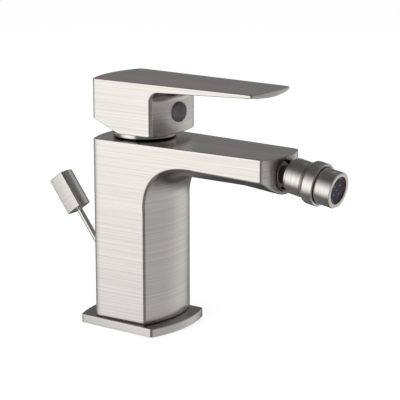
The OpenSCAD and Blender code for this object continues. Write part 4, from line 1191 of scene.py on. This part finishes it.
def light_field(tree, way, height, ways, heights, strength, lean):
    """A bright field of the tent, in degrees of compass angle and height. Each way it rises from
    the first number to the second, and falls from the third to the fourth. A lean shifts it
    sideways by so many degrees per degree of height above the object's own line of sight."""
    above = sums(tree, "ADD", height, SIGHT_HEIGHT)
    way = sums(tree, "SUBTRACT", way, sums(tree, "MULTIPLY", above, lean))
    sides = ((way, ways[0], ways[1]), (way, ways[3], ways[2]),
             (height, heights[0], heights[1]), (height, heights[3], heights[2]))
    return sums(tree, "MULTIPLY", *(smooth_step(tree, *side) for side in sides), strength)


turn = np.linspace(0, 2 * math.pi, TENT_COLS, endpoint=False)[None]
rise = np.radians(np.linspace(-89, 89, TENT_ROWS))[:, None]
points = np.stack([STUDIO_X + TENT * np.cos(rise) * np.cos(turn),
                   TENT * np.cos(rise) * np.sin(turn),
                   STUDIO_Z + TENT * np.sin(rise) + 0 * turn], -1).reshape(-1, 3)
faces = grid_faces(TENT_ROWS, TENT_COLS, close_cols=True)
faces += [list(range(TENT_COLS)), list(range(len(points) - TENT_COLS, len(points)))]
_, tent = bare_mesh("light_tent", points, faces)
for ray in ("camera", "diffuse", "transmission", "shadow", "volume_scatter"):
    setattr(tent, "visible_" + ray, False)

tent_cloth, tree, surface = only_glow("tent_cloth")
x, y, z = axes(tree, "Object")
way = sums(tree, "ARCTAN2", y, sums(tree, "SUBTRACT", x, STUDIO_X))
way = sums(tree, "MULTIPLY", way, 180 / math.pi)
height = sums(tree, "DIVIDE", sums(tree, "SUBTRACT", z, STUDIO_Z), TENT)
height = sums(tree, "MULTIPLY", sums(tree, "ARCSINE", height, 0.0), 180 / math.pi)
horizon = sums(tree, "MULTIPLY", smooth_step(tree, height, 70, 10), HORIZON_GLOW)
tone = sums(tree, "ADD", horizon, BASE_GLOW,
            *(light_field(tree, way, height, *field) for field in FIELDS))
link(tree, add(tree, "Emission", {"Strength": tone}), surface)
tent_cloth.cycles.emission_sampling = "NONE"
tent.data.materials.append(tent_cloth)
print("fields in the tent", len(FIELDS))

# %% [markdown]
# ## Lamps and camera
# Three large soft lamps light the plastics and lay the soft shadow on the floor. They don't
# show in the metal, because the tent is there for that. The camera stands at the front on the
# near side and looks down a little, with a long lens, as in the picture.

# %% Soft lamps and the camera
def set_up(name, data, place, aim):
    """Puts a lamp or a camera at a place and aims it at a point."""
    thing = bpy.data.objects.new(name, data)
    thing.location = place
    thing.rotation_euler = (Vector(aim) - Vector(place)).to_track_quat("-Z", "Y").to_euler()
    bpy.context.scene.collection.objects.link(thing)
    return thing


for name, place, size, power in (
        ("lamp_left", (-0.35, -1.1, 0.9), 0.9, 6.0),
        ("lamp_front", (1.1, -0.5, 1.0), 0.9, 4.0),
        ("lamp_above", (0.0, 0.1, 1.4), 1.2, 4.0)):
    lamp = bpy.data.lights.new(name, "AREA")
    lamp.shape, lamp.size, lamp.energy = "SQUARE", size, power
    set_up(name, lamp, place, (STUDIO_X, 0.0, STUDIO_Z)).visible_glossy = False

lens = bpy.data.cameras.new("camera")
lens.lens, lens.sensor_width = 141.62, 36.0
bpy.context.scene.camera = set_up(
    "camera", lens, (0.5783, -0.7533, 0.3070), (0.04437, 0.0, 0.08333))
bpy.context.scene.view_settings.view_transform = "Standard"
